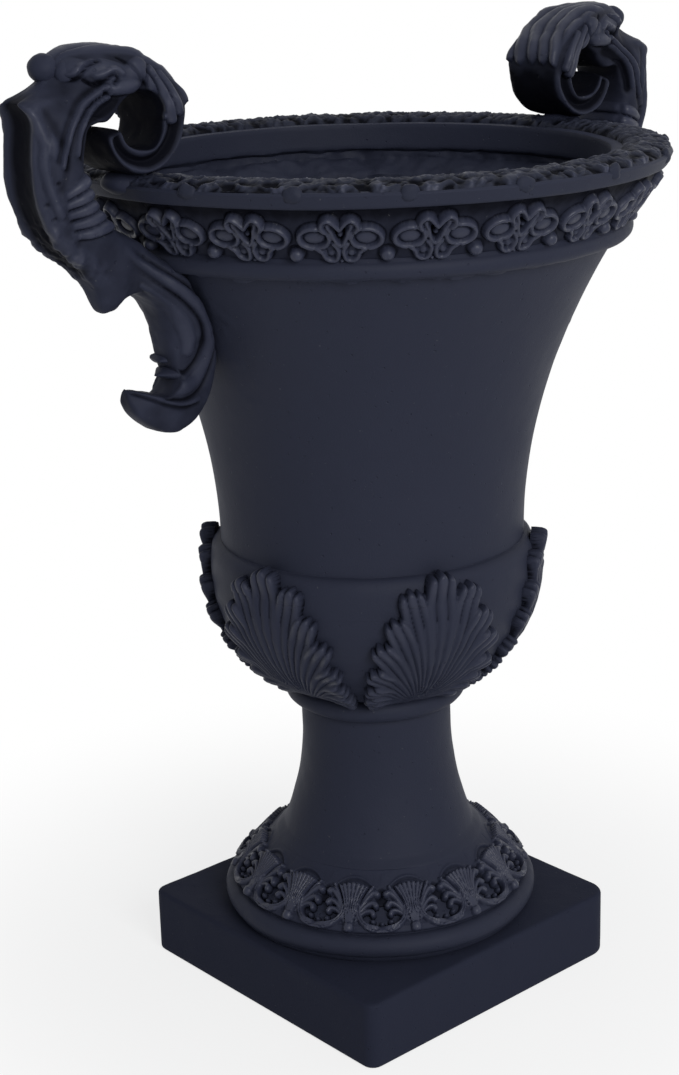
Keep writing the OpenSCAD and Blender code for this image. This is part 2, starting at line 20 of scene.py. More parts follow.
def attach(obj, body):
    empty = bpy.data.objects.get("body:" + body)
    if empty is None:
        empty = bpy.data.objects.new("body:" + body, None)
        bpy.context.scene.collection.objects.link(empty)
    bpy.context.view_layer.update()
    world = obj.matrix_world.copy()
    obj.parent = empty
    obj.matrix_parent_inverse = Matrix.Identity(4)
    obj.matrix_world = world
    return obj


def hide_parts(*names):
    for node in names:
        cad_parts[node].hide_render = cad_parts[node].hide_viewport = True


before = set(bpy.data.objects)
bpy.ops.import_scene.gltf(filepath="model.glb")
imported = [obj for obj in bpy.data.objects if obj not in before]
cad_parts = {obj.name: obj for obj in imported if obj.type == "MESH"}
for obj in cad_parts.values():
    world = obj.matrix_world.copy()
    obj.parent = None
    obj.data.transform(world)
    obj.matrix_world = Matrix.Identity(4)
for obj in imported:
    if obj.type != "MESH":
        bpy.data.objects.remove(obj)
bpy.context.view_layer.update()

LOG = logging.getLogger("urn")
MM = 0.001
BODY = "root"
RELIEF = "relief"

Grid = np.ndarray
Path = Sequence[tuple[float, float]]
Tree = bpy.types.NodeTree
Socket = bpy.types.NodeSocket

# whole numbers that turn a lattice point of the noise into its value
AXIS_PRIMES = (1619, 31337, 6971)
SEED = 1013
STIR = (60493, 19990303, 1376312589)
MASK = 0x7FFFFFFF
HALF_RANGE = 1073741824.0


# Shaping by formula


def smooth_step(low: float, high: float, value: Grid) -> Grid:
    """Rises smoothly from 0 to 1.

    Args:
        low: Value at which the rise starts.
        high: Value at which it ends.
        value: Values to map.

    Returns:
        The mapped values.
    """
    t = np.clip((value - low) / (high - low), 0.0, 1.0)
    return t * t * (3.0 - 2.0 * t)


def soft_max(a: Grid, b: Grid, blend: float) -> Grid:
    """The larger of two heights, with a fillet where they cross.

    Args:
        a: First heights.
        b: Second heights.
        blend: Size of the fillet in mm.

    Returns:
        The joined heights.
    """
    h = np.clip(0.5 + 0.5 * (a - b) / blend, 0.0, 1.0)
    return b + (a - b) * h + blend * h * (1.0 - h)


def laid(ground: Grid, shape: Grid, blend: float) -> Grid:
    """Lays a raised shape on a carved ground, which keeps its depth beside the shape.

    Args:
        ground: Heights of the ground.
        shape: Heights of the shape, zero outside it.
        blend: Size of the fillet in mm.

    Returns:
        The joined heights.
    """
    return np.where(shape > 0.0, soft_max(ground, shape, blend), ground)


def bar_profile(distance: Grid, radius: Grid | float) -> Grid:
    """Profile of a round bar, 1 at its middle and 0 from its edge on."""
    return np.sqrt(np.clip(1.0 - (distance / radius) ** 2, 0.0, 1.0))


def soft_profile(distance: Grid, width: float) -> Grid:
    """Soft profile, 1 at its middle and about a third at its width."""
    return np.exp(-((distance / width) ** 2))


def set_on(ground: Grid, shape: Grid, sink: float = 0.0) -> Grid:
    """Sets a raised shape on a ground with a crisp edge, sunk by a depth in mm."""
    return np.where(shape > 0.0, np.maximum(ground, shape - sink), ground)


def arc_points(centre: tuple[float, float], half: tuple[float, float], degrees: range) -> list[tuple[float, float]]:
    """Points on an oval, given by its middle, its two half widths and the points' angles."""
    turns = [math.radians(a) for a in degrees]
    return [(centre[0] + half[0] * math.cos(a), centre[1] + half[1] * math.sin(a)) for a in turns]


def shifted(path: Path, across: float, up: float) -> list[tuple[float, float]]:
    """The same line, moved."""
    return [(px + across, py + up) for px, py in path]


def walked(x: Grid, y: Grid) -> Grid:
    """Distance walked from the start of a line to each of its points."""
    return np.concatenate([[0.0], np.cumsum(np.hypot(np.diff(x), np.diff(y)))])


def path_distance(x: Grid, y: Grid, path: Path) -> tuple[Grid, Grid]:
    """Distance from points to an open line.

    Args:
        x: First coordinate of the points.
        y: Second coordinate of the points.
        path: Corners of the line.

    Returns:
        The distance and how far along the line, from 0 to 1, the nearest point lies.
    """
    best = np.full(np.shape(x), 1.0e9)
    along = np.zeros(np.shape(x))
    count = len(path) - 1
    for k in range(count):
        (ax, ay), (bx, by) = path[k], path[k + 1]
        dx, dy = bx - ax, by - ay
        t = np.clip(((x - ax) * dx + (y - ay) * dy) / (dx * dx + dy * dy + 1.0e-9), 0.0, 1.0)
        d = np.hypot(x - ax - t * dx, y - ay - t * dy)
        nearer = d < best
        best = np.where(nearer, d, best)
        along = np.where(nearer, (k + t) / count, along)
    return best, along


def rounded_path(path: Path, steps: int = 6) -> list[tuple[float, float]]:
    """A line through the same corners, curved between them.

    Args:
        path: Corners of the line.
        steps: Pieces that each span is cut into.

    Returns:
        The finer line.
    """
    rows = np.array(path, dtype=float)
    t = np.linspace(0.0, len(rows) - 1.0, (len(rows) - 1) * steps + 1)
    return [tuple(p) for p in through_stations(rows, t)]


def through_stations(rows: Grid, t: Grid) -> Grid:
    """Curve through a table of stations.

    Args:
        rows: One station a row.
        t: Places on the curve, where station number i is at t = i.

    Returns:
        One row for each place.
    """
    last = len(rows) - 1
    i = np.clip(np.floor(t).astype(int), 0, last - 1)
    f = (t - i)[:, None]
    a, b, c, d = (rows[np.clip(i + k, 0, last)] for k in (-1, 0, 1, 2))
    return 0.5 * (2 * b + (c - a) * f + (2 * a - 5 * b + 4 * c - d) * f**2 + (3 * b - a - 3 * c + d) * f**3)


def cord(x: Grid, y: Grid, path: Path, radius: float, height: float) -> Grid:
    """Height of a round cord laid along a line.

    Args:
        x: First coordinate of the points.
        y: Second coordinate of the points.
        path: Corners of the cord's line.
        radius: Half the cord's width.
        height: Height of its crown.

    Returns:
        Heights, 0 beside the cord.
    """
    d, _ = path_distance(x, y, path)
    return height * bar_profile(d, radius)


def groove(x: Grid, y: Grid, path: Path, width: float, depth: float) -> Grid:
    """Depth of a soft groove along a line.

    Args:
        x: First coordinate of the points.
        y: Second coordinate of the points.
        path: Corners of the groove's line.
        width: Distance at which the groove has risen to about a third of its depth.
        depth: Depth at the line.

    Returns:
        Heights, below 0 in the groove.
    """
    d, _ = path_distance(x, y, path)
    return -depth * soft_profile(d, width)


def dome(x: Grid, y: Grid, centre: tuple[float, float], half: tuple[float, float], tilt: float, height: float) -> Grid:
    """Height of an oval dome.

    Args:
        x: First coordinate of the points.
        y: Second coordinate of the points.
        centre: Middle of the oval.
        half: Half its length and half its width.
        tilt: Angle of its length from the first axis, in degrees.
        height: Height in the middle.

    Returns:
        Heights, 0 outside the oval.
    """
    c, s = math.cos(math.radians(tilt)), math.sin(math.radians(tilt))
    u = ((x - centre[0]) * c + (y - centre[1]) * s) / half[0]
    v = ((y - centre[1]) * c - (x - centre[0]) * s) / half[1]
    return height * np.sqrt(np.clip(1.0 - u * u - v * v, 0.0, 1.0))


def petal(x: Grid, y: Grid, path: Path, root: float, wide: float, height: float) -> Grid:
    """Height of a leaflet that swells along a curved line and ends round.

    Args:
        x: First coordinate of the points.
        y: Second coordinate of the points.
        path: Corners of its line, from its root to its tip.
        root: Half its width at the root.
        wide: Half its width near the tip.
        height: Height at its widest place.

    Returns:
        Heights, 0 outside the leaflet.
    """
    d, t = path_distance(x, y, path)
    width = root + (wide - root) * smooth_step(0.0, 0.75, t)
    return height * (0.55 + 0.45 * smooth_step(0.0, 0.8, t)) * bar_profile(d, width)


def cast_noise(x: Grid, y: Grid, z: Grid | float, grain: float, octaves: int = 2) -> Grid:
    """Smooth irregular lumps, the same each time.

    Args:
        x: First coordinate in mm.
        y: Second coordinate in mm.
        z: Third coordinate in mm.
        grain: Size of the largest lumps in mm.
        octaves: Number of sizes added, each half the one before.

    Returns:
        Values from about -1 to 1.
    """
    total = np.zeros(np.broadcast(x, y, z).shape)
    for octave in range(octaves):
        scale = 2**octave / grain
        cells, parts = [], []
        for axis, shift in ((x, 11.3), (y, 47.9), (z, 83.1)):
            place = axis * scale + shift * (octave + 1)
            cell = np.floor(place)
            f = place - cell
            cells.append(cell.astype(np.int64))
            parts.append(f * f * (3.0 - 2.0 * f))
        value = 0.0
        for corner in range(8):
            weight, key = 1.0, SEED
            for axis, prime in enumerate(AXIS_PRIMES):
                up = corner >> axis & 1
                weight = weight * (parts[axis] if up else 1.0 - parts[axis])
                key = key + (cells[axis] + up) * prime
            key = key & MASK
            key = (key >> 13) ^ key
            key = (key * (key * key * STIR[0] + STIR[1]) + STIR[2]) & MASK
            value = value + weight * (1.0 - key / HALF_RANGE)
        total = total + value / 2**octave
    return total


# Meshes


def finished(name: str, mesh: bpy.types.Mesh, sharp: float) -> bpy.types.Object:
    """Puts a mesh into the scene as a smooth-shaded piece.

    Args:
        name: Name of the piece.
        mesh: Its mesh, in metres.
        sharp: Angle in degrees above which an edge stays crisp.

    Returns:
        The new object.
    """
    mesh.name = name
    mesh.shade_smooth()
    mesh.set_sharp_from_angle(angle=math.radians(sharp))
    piece = bpy.data.objects.new(name, mesh)
    bpy.context.scene.collection.objects.link(piece)
    return piece


def welded(bm: bmesh.types.BMesh) -> bpy.types.Mesh:
    """Closes seams and poles, turns the faces outwards and gives the mesh.

    Args:
        bm: The working mesh, in metres, which is freed.

    Returns:
        The finished mesh.
    """
    bmesh.ops.remove_doubles(bm, verts=bm.verts, dist=2.0e-6)
    bmesh.ops.dissolve_degenerate(bm, dist=1.0e-7, edges=bm.edges)
    bmesh.ops.recalc_face_normals(bm, faces=bm.faces)
    mesh = bpy.data.meshes.new("casting")
    bm.to_mesh(mesh)
    bm.free()
    return mesh


def draped(columns: int, rows: int, points: Grid, relief: Grid | None = None) -> bpy.types.Mesh:
    """A grid of faces laid through a table of places.

    Args:
        columns: Faces along the grid.
        rows: Faces across it.
        points: Places in mm, one for each corner, columns + 1 by rows + 1 by 3.
        relief: Height of the carving at each corner in mm, with any painted shade and light added, which the finish
            reads as painted shade in the hollows and a painted highlight on the crests.

    Returns:
        The mesh in metres, with its seams closed.
    """
    bm = bmesh.new()
    bmesh.ops.create_grid(bm, x_segments=columns, y_segments=rows, size=0.5)
    mark = bm.verts.layers.float.new(RELIEF)
    for vert in bm.verts:
        i, j = round((vert.co.x + 0.5) * columns), round((vert.co.y + 0.5) * rows)
        vert.co = Vector(points[i, j] * MM)
        if relief is not None:
            vert[mark] = float(relief[i, j])
    return welded(bm)


def refined(outline: Path, spacing: float) -> list[tuple[float, float]]:
    """A closed outline with its long sides cut into short ones.

    Args:
        outline: Corners in order.
        spacing: Longest side that stays, in mm.

    Returns:
        The finer outline.
    """
    fine: list[tuple[float, float]] = []
    for (ar, az), (br, bz) in zip(outline, [*outline[1:], outline[0]]):
        pieces = max(1, math.ceil(math.hypot(br - ar, bz - az) / spacing))
        fine += [(ar + (br - ar) * k / pieces, az + (bz - az) * k / pieces) for k in range(pieces)]
    return fine


def turned(outline: Path, steps: int, wander: Callable[[Grid, Grid, Grid], Grid]) -> bpy.types.Mesh:
    """A closed outline spun about the urn's axis, with the unevenness of a hand-filled mould.

    Args:
        outline: Closed outline as radius and height in mm.
        steps: Steps round the axis.
        wander: Gives how far a point at x, y and z stands out, in mm.

    Returns:
        The mesh in metres.
    """
    bm = bmesh.new()
    verts = [bm.verts.new((r * MM, 0.0, z * MM)) for r, z in outline]
    edges = [bm.edges.new(pair) for pair in zip(verts, [*verts[1:], verts[0]])]
    bmesh.ops.spin(
        bm, geom=verts + edges, cent=(0, 0, 0), axis=(0, 0, 1), dvec=(0, 0, 0), angle=math.tau, steps=steps,
        use_merge=True,
    )
    mesh = welded(bm)
    return moved_out(mesh, wander)


def moved_out(mesh: bpy.types.Mesh, wander: Callable[[Grid, Grid, Grid], Grid]) -> bpy.types.Mesh:
    """Moves every point of a mesh along its normal.

    Args:
        mesh: The mesh in metres.
        wander: Gives how far a point at x, y and z stands out, in mm.

    Returns:
        The same mesh.
    """
    count = len(mesh.vertices)
    co, normal = np.empty(count * 3), np.empty(count * 3)
    mesh.vertices.foreach_get("co", co)
    mesh.vertex_normals.foreach_get("vector", normal)
    co, normal = co.reshape(-1, 3), normal.reshape(-1, 3)
    lift = wander(co[:, 0] / MM, co[:, 1] / MM, co[:, 2] / MM)
    mesh.vertices.foreach_set("co", (co + normal * lift[:, None] * MM).ravel())
    mesh.update()
    return mesh


def ball(
    centre: tuple[float, float, float], half: tuple[float, float, float], segments: int, rings: int
) -> bmesh.types.BMesh:
    """An oval ball.

    Args:
        centre: Its middle in mm.
        half: Its half widths in mm.
        segments: Faces round it.
        rings: Faces from pole to pole.

    Returns:
        The working mesh, in metres.
    """
    bm = bmesh.new()
    bmesh.ops.create_uvsphere(bm, u_segments=segments, v_segments=rings, radius=MM)
    bmesh.ops.scale(bm, vec=Vector(half), verts=bm.verts)
    bmesh.ops.translate(bm, vec=Vector(centre) * MM, verts=bm.verts)
    return bm


def joined(meshes: Sequence[bpy.types.Mesh]) -> bpy.types.Mesh:
    """Several meshes as one.

    Args:
        meshes: The meshes to join, in metres.

    Returns:
        The joined mesh.
    """
    bm = bmesh.new()
    bm.verts.layers.float.new(RELIEF)
    for mesh in meshes:
        bm.from_mesh(mesh)
    whole = bpy.data.meshes.new("joined")
    bm.to_mesh(whole)
    bm.free()
    return whole


# Finishes


def linear(colour: str) -> tuple[float, float, float, float]:
    """Turns an sRGB hex colour into the linear one that the shader takes.

    Args:
        colour: Six hexadecimal digits.

    Returns:
        Red, green, blue and an alpha of 1.
    """
    parts = [int(colour[k : k + 2], 16) / 255.0 for k in (0, 2, 4)]
    return (*(c / 12.92 if c <= 0.04045 else ((c + 0.055) / 1.055) ** 2.4 for c in parts), 1.0)


def add_node(
    tree: Tree,
    kind: str,
    settings: dict[str, object] | None = None,
    inputs: dict[str | int, object] | None = None,
) -> bpy.types.Node:
    """Adds a node with its settings, values and links.

    Args:
        tree: Tree that takes the node.
        kind: Blender's name for the node type.
        settings: Attributes to set.
        inputs: Value or output socket for each named or numbered input.

    Returns:
        The new node.
    """
    node = tree.nodes.new(kind)
    for key, value in (settings or {}).items():
        setattr(node, key, value)
    for key, value in (inputs or {}).items():
        if isinstance(value, Socket):
            tree.links.new(value, node.inputs[key])
        else:
            node.inputs[key].default_value = value
    return node


def noise_value(tree: Tree, place: Socket, size: float, detail: float, rough: float = 0.5) -> Socket:
    """Adds a noise texture.

    Args:
        tree: Tree that takes the node.
        place: Where the texture is read.
        size: Size of its lumps in mm.
        detail: Number of finer layers.
        rough: Strength of the finer layers.

    Returns:
        The texture's value.
    """
    inputs = {"Vector": place, "Scale": 1000.0 / size, "Detail": detail, "Roughness": rough}
    return add_node(tree, "ShaderNodeTexNoise", inputs=inputs).outputs["Fac"]


def cell_value(tree: Tree, place: Socket, size: float) -> Socket:
    """Adds a texture of cells whose size is given in mm, and gives the distance from their middles."""
    inputs = {"Vector": place, "Scale": 1000.0 / size, "Randomness": 1.0}
    return add_node(tree, "ShaderNodeTexVoronoi", inputs=inputs).outputs["Distance"]


def mapped(tree: Tree, value: Socket, source: tuple[float, float], target: tuple[float, float] = (0.0, 1.0)) -> Socket:
    """Adds a node that maps a value from one range to another.

    Args:
        tree: Tree that takes the node.
        value: The value to map.
        source: Range that is read.
        target: Range that comes out.

    Returns:
        The mapped value.
    """
    inputs = {"Value": value, "From Min": source[0], "From Max": source[1], "To Min": target[0], "To Max": target[1]}
    return add_node(tree, "ShaderNodeMapRange", inputs=inputs).outputs["Result"]


def mixed_colour(tree: Tree, factor: Socket, first: object, second: object) -> Socket:
    """Adds a node that mixes two colours, and gives the mixture."""
    return add_node(tree, "ShaderNodeMix", {"data_type": "RGBA"}, {"Factor": factor, 6: first, 7: second}).outputs[2]


def mixed_number(tree: Tree, factor: Socket, first: object, second: object) -> Socket:
    """Adds a node that mixes two numbers, and gives the mixture."""
    return add_node(tree, "ShaderNodeMix", {"data_type": "FLOAT"}, {"Factor": factor, 2: first, 3: second}).outputs[0]


def bump_normal(tree: Tree, height: Socket, depth: float, below: Socket | None = None) -> Socket:
    """Adds a bump.

    Args:
        tree: Tree that takes the node.
        height: Height of the bump, from 0 to 1.
        depth: Its depth in mm.
        below: Normal of the bump under it, if there is one.

    Returns:
        The bent normal.
    """
    inputs = {"Height": height, "Distance": depth * MM, "Strength": 1.0}
    if below is not None:
        inputs["Normal"] = below
    return add_node(tree, "ShaderNodeBump", inputs=inputs).outputs["Normal"]


@dataclass(frozen=True)
class CoatedCastStone:
    """Concrete cast in a rubber mould and brushed with a satin masonry coating.

    The eye sees a dark blue-grey skin with a soft, broad sheen, painted darker in the hollows as shade and lighter
    on the crests as a highlight, with pinholes left by air bubbles and a faint sandy grain under the coat.
    """

    name: str
    body: str
    cloud: str
    # colours of the painted shade in the hollows and of the painted highlight on the crests
    hollow_shade: str
    crest: str
    roughness: float
    sheen_spread: float
    cloud_mm: float = 70.0
    grain_mm: float = 1.6
    grain_depth: float = 0.16
    ripple_mm: float = 26.0
    ripple_depth: float = 0.5
    pinhole_mm: float = 9.0
    pinhole_depth: float = 0.5
    speck: str = "6B6C6E"
    speck_mm: float = 5.0
    sheen: float = 0.09
    sheen_sunk: float = 0.02
    sheen_raised: float = 0.26
    polish: float = 0.2

    def material(self) -> bpy.types.Material:
        """Builds the node tree.

        Returns:
            The finished material.
        """
        made = bpy.data.materials.new(self.name)
        made.use_nodes = True
        tree = made.node_tree
        shader = tree.nodes["Principled BSDF"]
        place = add_node(tree, "ShaderNodeTexCoord").outputs["Object"]
        clouds = noise_value(tree, place, self.cloud_mm, 4.0, 0.6)
        coat = mixed_colour(tree, clouds, linear(self.body), linear(self.cloud))
        # the carving's height paints shade into the hollows and a highlight onto the crests, and sets a duller coat in
        # the hollows and, where the brush has polished it, a smoother, glossier one on the crests
        carved = add_node(tree, "ShaderNodeAttribute", {"attribute_name": RELIEF}).outputs["Fac"]
        sunk = mapped(tree, carved, (0.0, -2.5))
        raised = mapped(tree, carved, (0.6, 3.0))
        # painted shade in the hollows, then a painted highlight on the crests
        shaded = mixed_colour(tree, sunk, coat, linear(self.hollow_shade))
        scales_and_painted_highlight = mixed_colour(tree, raised, shaded, linear(self.crest))
        flecks = mapped(tree, noise_value(tree, place, self.speck_mm, 3.0, 0.75), (0.70, 0.78), (0.0, 0.5))
        tree.links.new(mixed_colour(tree, flecks, scales_and_painted_highlight, linear(self.speck)), shader.inputs["Base Color"])
        spread = (self.roughness - self.sheen_spread, self.roughness + self.sheen_spread)
        uneven = mapped(tree, clouds, (0.3, 0.7), spread)
        rubbed = add_node(
            tree, "ShaderNodeMath", {"operation": "MULTIPLY_ADD"}, {0: raised, 1: -self.polish, 2: uneven}
        )
        tree.links.new(rubbed.outputs[0], shader.inputs["Roughness"])
        dull = mixed_number(tree, sunk, self.sheen, self.sheen_sunk)
        gloss = mixed_number(tree, raised, dull, self.sheen_raised)
        tree.links.new(gloss, shader.inputs["Specular IOR Level"])
        # bumps: the slow ripple of the mould, the sandy grain and the pinholes
        wavy = bump_normal(tree, noise_value(tree, place, self.ripple_mm, 2.0), self.ripple_depth)
        sandy = bump_normal(tree, noise_value(tree, place, self.grain_mm, 3.0, 0.65), self.grain_depth, wavy)
        holes = mapped(tree, cell_value(tree, place, self.pinhole_mm), (0.04, 0.11))
        pitted = bump_normal(tree, holes, self.pinhole_depth, sandy)
        tree.links.new(pitted, shader.inputs["Normal"])
        return made


@dataclass(frozen=True)
class PlainFinish:
    """A finish with one colour, a fine mottle and a fine bump, for the small hidden fittings."""

    name: str
    light: str
    dark: str
    roughness: float
    metallic: float
    mottle_mm: float
    bump_depth: float

    def material(self) -> bpy.types.Material:
        """Builds the node tree.

        Returns:
            The finished material.
        """
        made = bpy.data.materials.new(self.name)
        made.use_nodes = True
        tree = made.node_tree
        shader = tree.nodes["Principled BSDF"]
        place = add_node(tree, "ShaderNodeTexCoord").outputs["Object"]
        cells = cell_value(tree, place, self.mottle_mm)
        tree.links.new(mixed_colour(tree, cells, linear(self.light), linear(self.dark)), shader.inputs["Base Color"])
        tree.links.new(bump_normal(tree, cells, self.bump_depth), shader.inputs["Normal"])
        shader.inputs["Roughness"].default_value = self.roughness
        shader.inputs["Metallic"].default_value = self.metallic
        return made


class Finish(Enum):
    """The finishes that the urn's pieces take."""

    SMOOTH = CoatedCastStone("satin_coated_cast_stone", "252836", "2A2D3B", "161820", "313443", 0.58, 0.05)
    CARVED = CoatedCastStone(
        "satin_coated_carved_stone", "252836", "2A2D3C", "0E0F16", "2F3242", 0.58, 0.05, grain_depth=0.1,
        ripple_depth=0.2, pinhole_mm=14.0, sheen_raised=0.2,
    )
    # the plinth takes a darker copy of the coated stone, as painted shade
    SHADED_PLINTH = CoatedCastStone("shaded_satin_coated_plinth_stone", "232634", "282B39", "12131A", "2A2D3B", 0.68, 0.05, sheen=0.04)
    ROUGH = CoatedCastStone(
        "rough_coated_cast_stone", "222531", "282B39", "0B0C12", "33374A", 0.56, 0.08, grain_mm=3.0, grain_depth=0.35,
        ripple_mm=18.0, ripple_depth=0.6, sheen_raised=0.3,
    )
    STEEL = PlainFinish("hot_dip_galvanised_steel", "B4B6B8", "8E9194", 0.42, 1.0, 6.0, 0.05)
    RUBBER = PlainFinish("moulded_rubber", "232323", "1A1A1A", 0.75, 0.0, 1.2, 0.05)


MADE_FINISHES: dict[Finish, bpy.types.Material] = {}


def dress(piece: bpy.types.Object, finish: Finish) -> None:
    """Gives a piece its finish.

    Args:
        piece: New piece or node of the construction model.
        finish: The finish to use.
    """
    if finish not in MADE_FINISHES:
        MADE_FINISHES[finish] = finish.value.material()
    if not piece.material_slots:
        piece.data.materials.append(MADE_FINISHES[finish])
    for slot in piece.material_slots:
        slot.material = MADE_FINISHES[finish]


def seat(piece: bpy.types.Object, finish: Finish, *nodes: str) -> None:
    """Dresses a piece and ties it to the construction model.

    Args:
        piece: The new piece.
        finish: Its finish.
        *nodes: Nodes that it stands for.
    """
    dress(piece, finish)
    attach(piece, BODY)
    if nodes:
        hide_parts(*nodes)
    LOG.info("%s: %d faces, for %s", piece.name, len(piece.data.polygons), ", ".join(nodes))


# Sizes shared by the castings


@dataclass(frozen=True)
class UrnOutline:
    """Radius of the turned castings at a height, as in the construction model, in mm."""

    plinth_h: float = 57.5
    foot_r: float = 127.8
    bead: tuple[float, float, float] = (123.0, 69.5, 9.5)
    foot_edge: tuple[float, float] = (124.0, 80.5)
    slope_low: tuple[float, float] = (122.0, 86.0)
    slope_top_z: float = 126.0
    waist_z: float = 215.0
    stem_r: float = 62.2
    collar: tuple[float, float, float] = (66.0, 250.0, 9.0)
    neck_z: float = 258.0
    cup_r: float = 132.0
    cup_z: float = 352.0
    cup_low: float = 109.4
    cup_high: float = 90.0
    cup_top_z: float = 383.0
    leaf_free_z: float = 362.0
    bell_r: float = 123.5
    bell_mouth_r: float = 199.0
    rim_joint_z: float = 632.0
    wall: float = 24.0
    frieze_low: tuple[float, float] = (205.0, 640.0)
    frieze_high: tuple[float, float] = (228.2, 675.2)
    rim_r: float = 235.7
    mouth_r: float = 189.6
    rim_top_z: float = 688.7

    def stem_at(self, z: Grid) -> Grid:
        """Radius of the stem."""
        return self.stem_r + 0.00292 * np.maximum(0.0, self.waist_z - z) ** 1.94

    def slope_at(self, z: Grid) -> Grid:
        """Radius of the foot's slope."""
        t = np.clip((z - self.slope_low[1]) / (self.slope_top_z - self.slope_low[1]), 0.0, 1.0)
        return self.slope_low[0] + (self.stem_at(self.slope_top_z) - self.slope_low[0]) * t**0.9

    def bell_at(self, z: Grid) -> Grid:
        """Radius of the bell."""
        t = np.clip((z - self.cup_top_z) / (self.rim_joint_z - self.cup_top_z), 0.0, 1.2)
        return self.bell_r + (self.bell_mouth_r - self.bell_r) * t**2.04

    def cup_at(self, z: Grid) -> Grid:
        """Radius of the bowl."""
        half = np.where(z < self.cup_z, self.cup_low, self.cup_high)
        return self.cup_r * bar_profile(z - self.cup_z, half)

    def frieze_at(self, z: Grid) -> Grid:
        """Radius of the sloping frieze."""
        t = (z - self.frieze_low[1]) / (self.frieze_high[1] - self.frieze_low[1])
        return self.frieze_low[0] + (self.frieze_high[0] - self.frieze_low[0]) * t


URN = UrnOutline()
SECTION_POINTS = 400  # places at which a turned face's section is worked out


def round_point(angle: Grid, r: Grid, z: Grid) -> Grid:
    """Places from an angle in radians, a radius and a height.

    Args:
        angle: Angle from +X.
        r: Radius.
        z: Height.

    Returns:
        The places, with the coordinates last.
    """
    return np.stack([r * np.cos(angle), r * np.sin(angle), z + 0.0 * angle], axis=-1)


def over_face(angle: Grid, z: Grid, height: Grid, climb: Grid, reach: Grid) -> Grid:
    """Places that stand out from a turned face along its normal.

    Args:
        angle: Angle from +X in radians.
        z: Height of the spot on the face.
        height: How far the place stands out from it.
        climb: Heights along the face's section.
        reach: Radii at those heights.

    Returns:
        The places, with the coordinates last.
    """
    r = np.interp(z, climb, reach)
    tilt = np.interp(z, climb, np.gradient(reach, climb))
    out, rise = 1.0 / np.hypot(1.0, tilt), -tilt / np.hypot(1.0, tilt)
    return round_point(angle, r + height * out, z + height * rise)


@dataclass(frozen=True)
class CarvedBand:
    """A strip of carving round the urn, worked out as heights over a turned face."""

    face: Callable[[Grid], Grid]
    low_z: float
    high_z: float
    first: float
    count: int
    tuck: float = 1.4

    def mesh(
        self, start: float, end: float, faces: tuple[int, int], carve: Callable[[Grid, Grid, Grid], Grid]
    ) -> bpy.types.Mesh:
        """Builds a stretch of the strip.

        Args:
            start: Angle at which the stretch starts, in degrees.
            end: Angle at which it ends.
            faces: Number of faces round the urn and up the strip.
            carve: Gives the height of the carving at a distance from the motif's middle, up the slope and
                half way to the next motif.

        Returns:
            The mesh in metres.
        """
        columns, rows = faces
        climb = np.linspace(self.low_z, self.high_z, SECTION_POINTS)
        reach = self.face(climb)
        walk = walked(climb, reach)
        angle, up = np.meshgrid(
            np.linspace(start, end, columns + 1), np.linspace(0.0, walk[-1], rows + 1), indexing="ij"
        )
        z = np.interp(up, walk, climb)
        r = np.interp(z, climb, reach)
        pitch = 360.0 / self.count
        turn = (angle - self.first + pitch / 2.0) % pitch - pitch / 2.0
        height = carve(np.radians(turn) * r, up, np.radians(pitch / 2.0) * r)
        bound = smooth_step(0.0, 1.8, np.minimum(up, walk[-1] - up))
        height = height * bound - self.tuck * (1.0 - bound)
        return draped(columns, rows, over_face(np.radians(angle), z, height, climb, reach), height)


# The castings


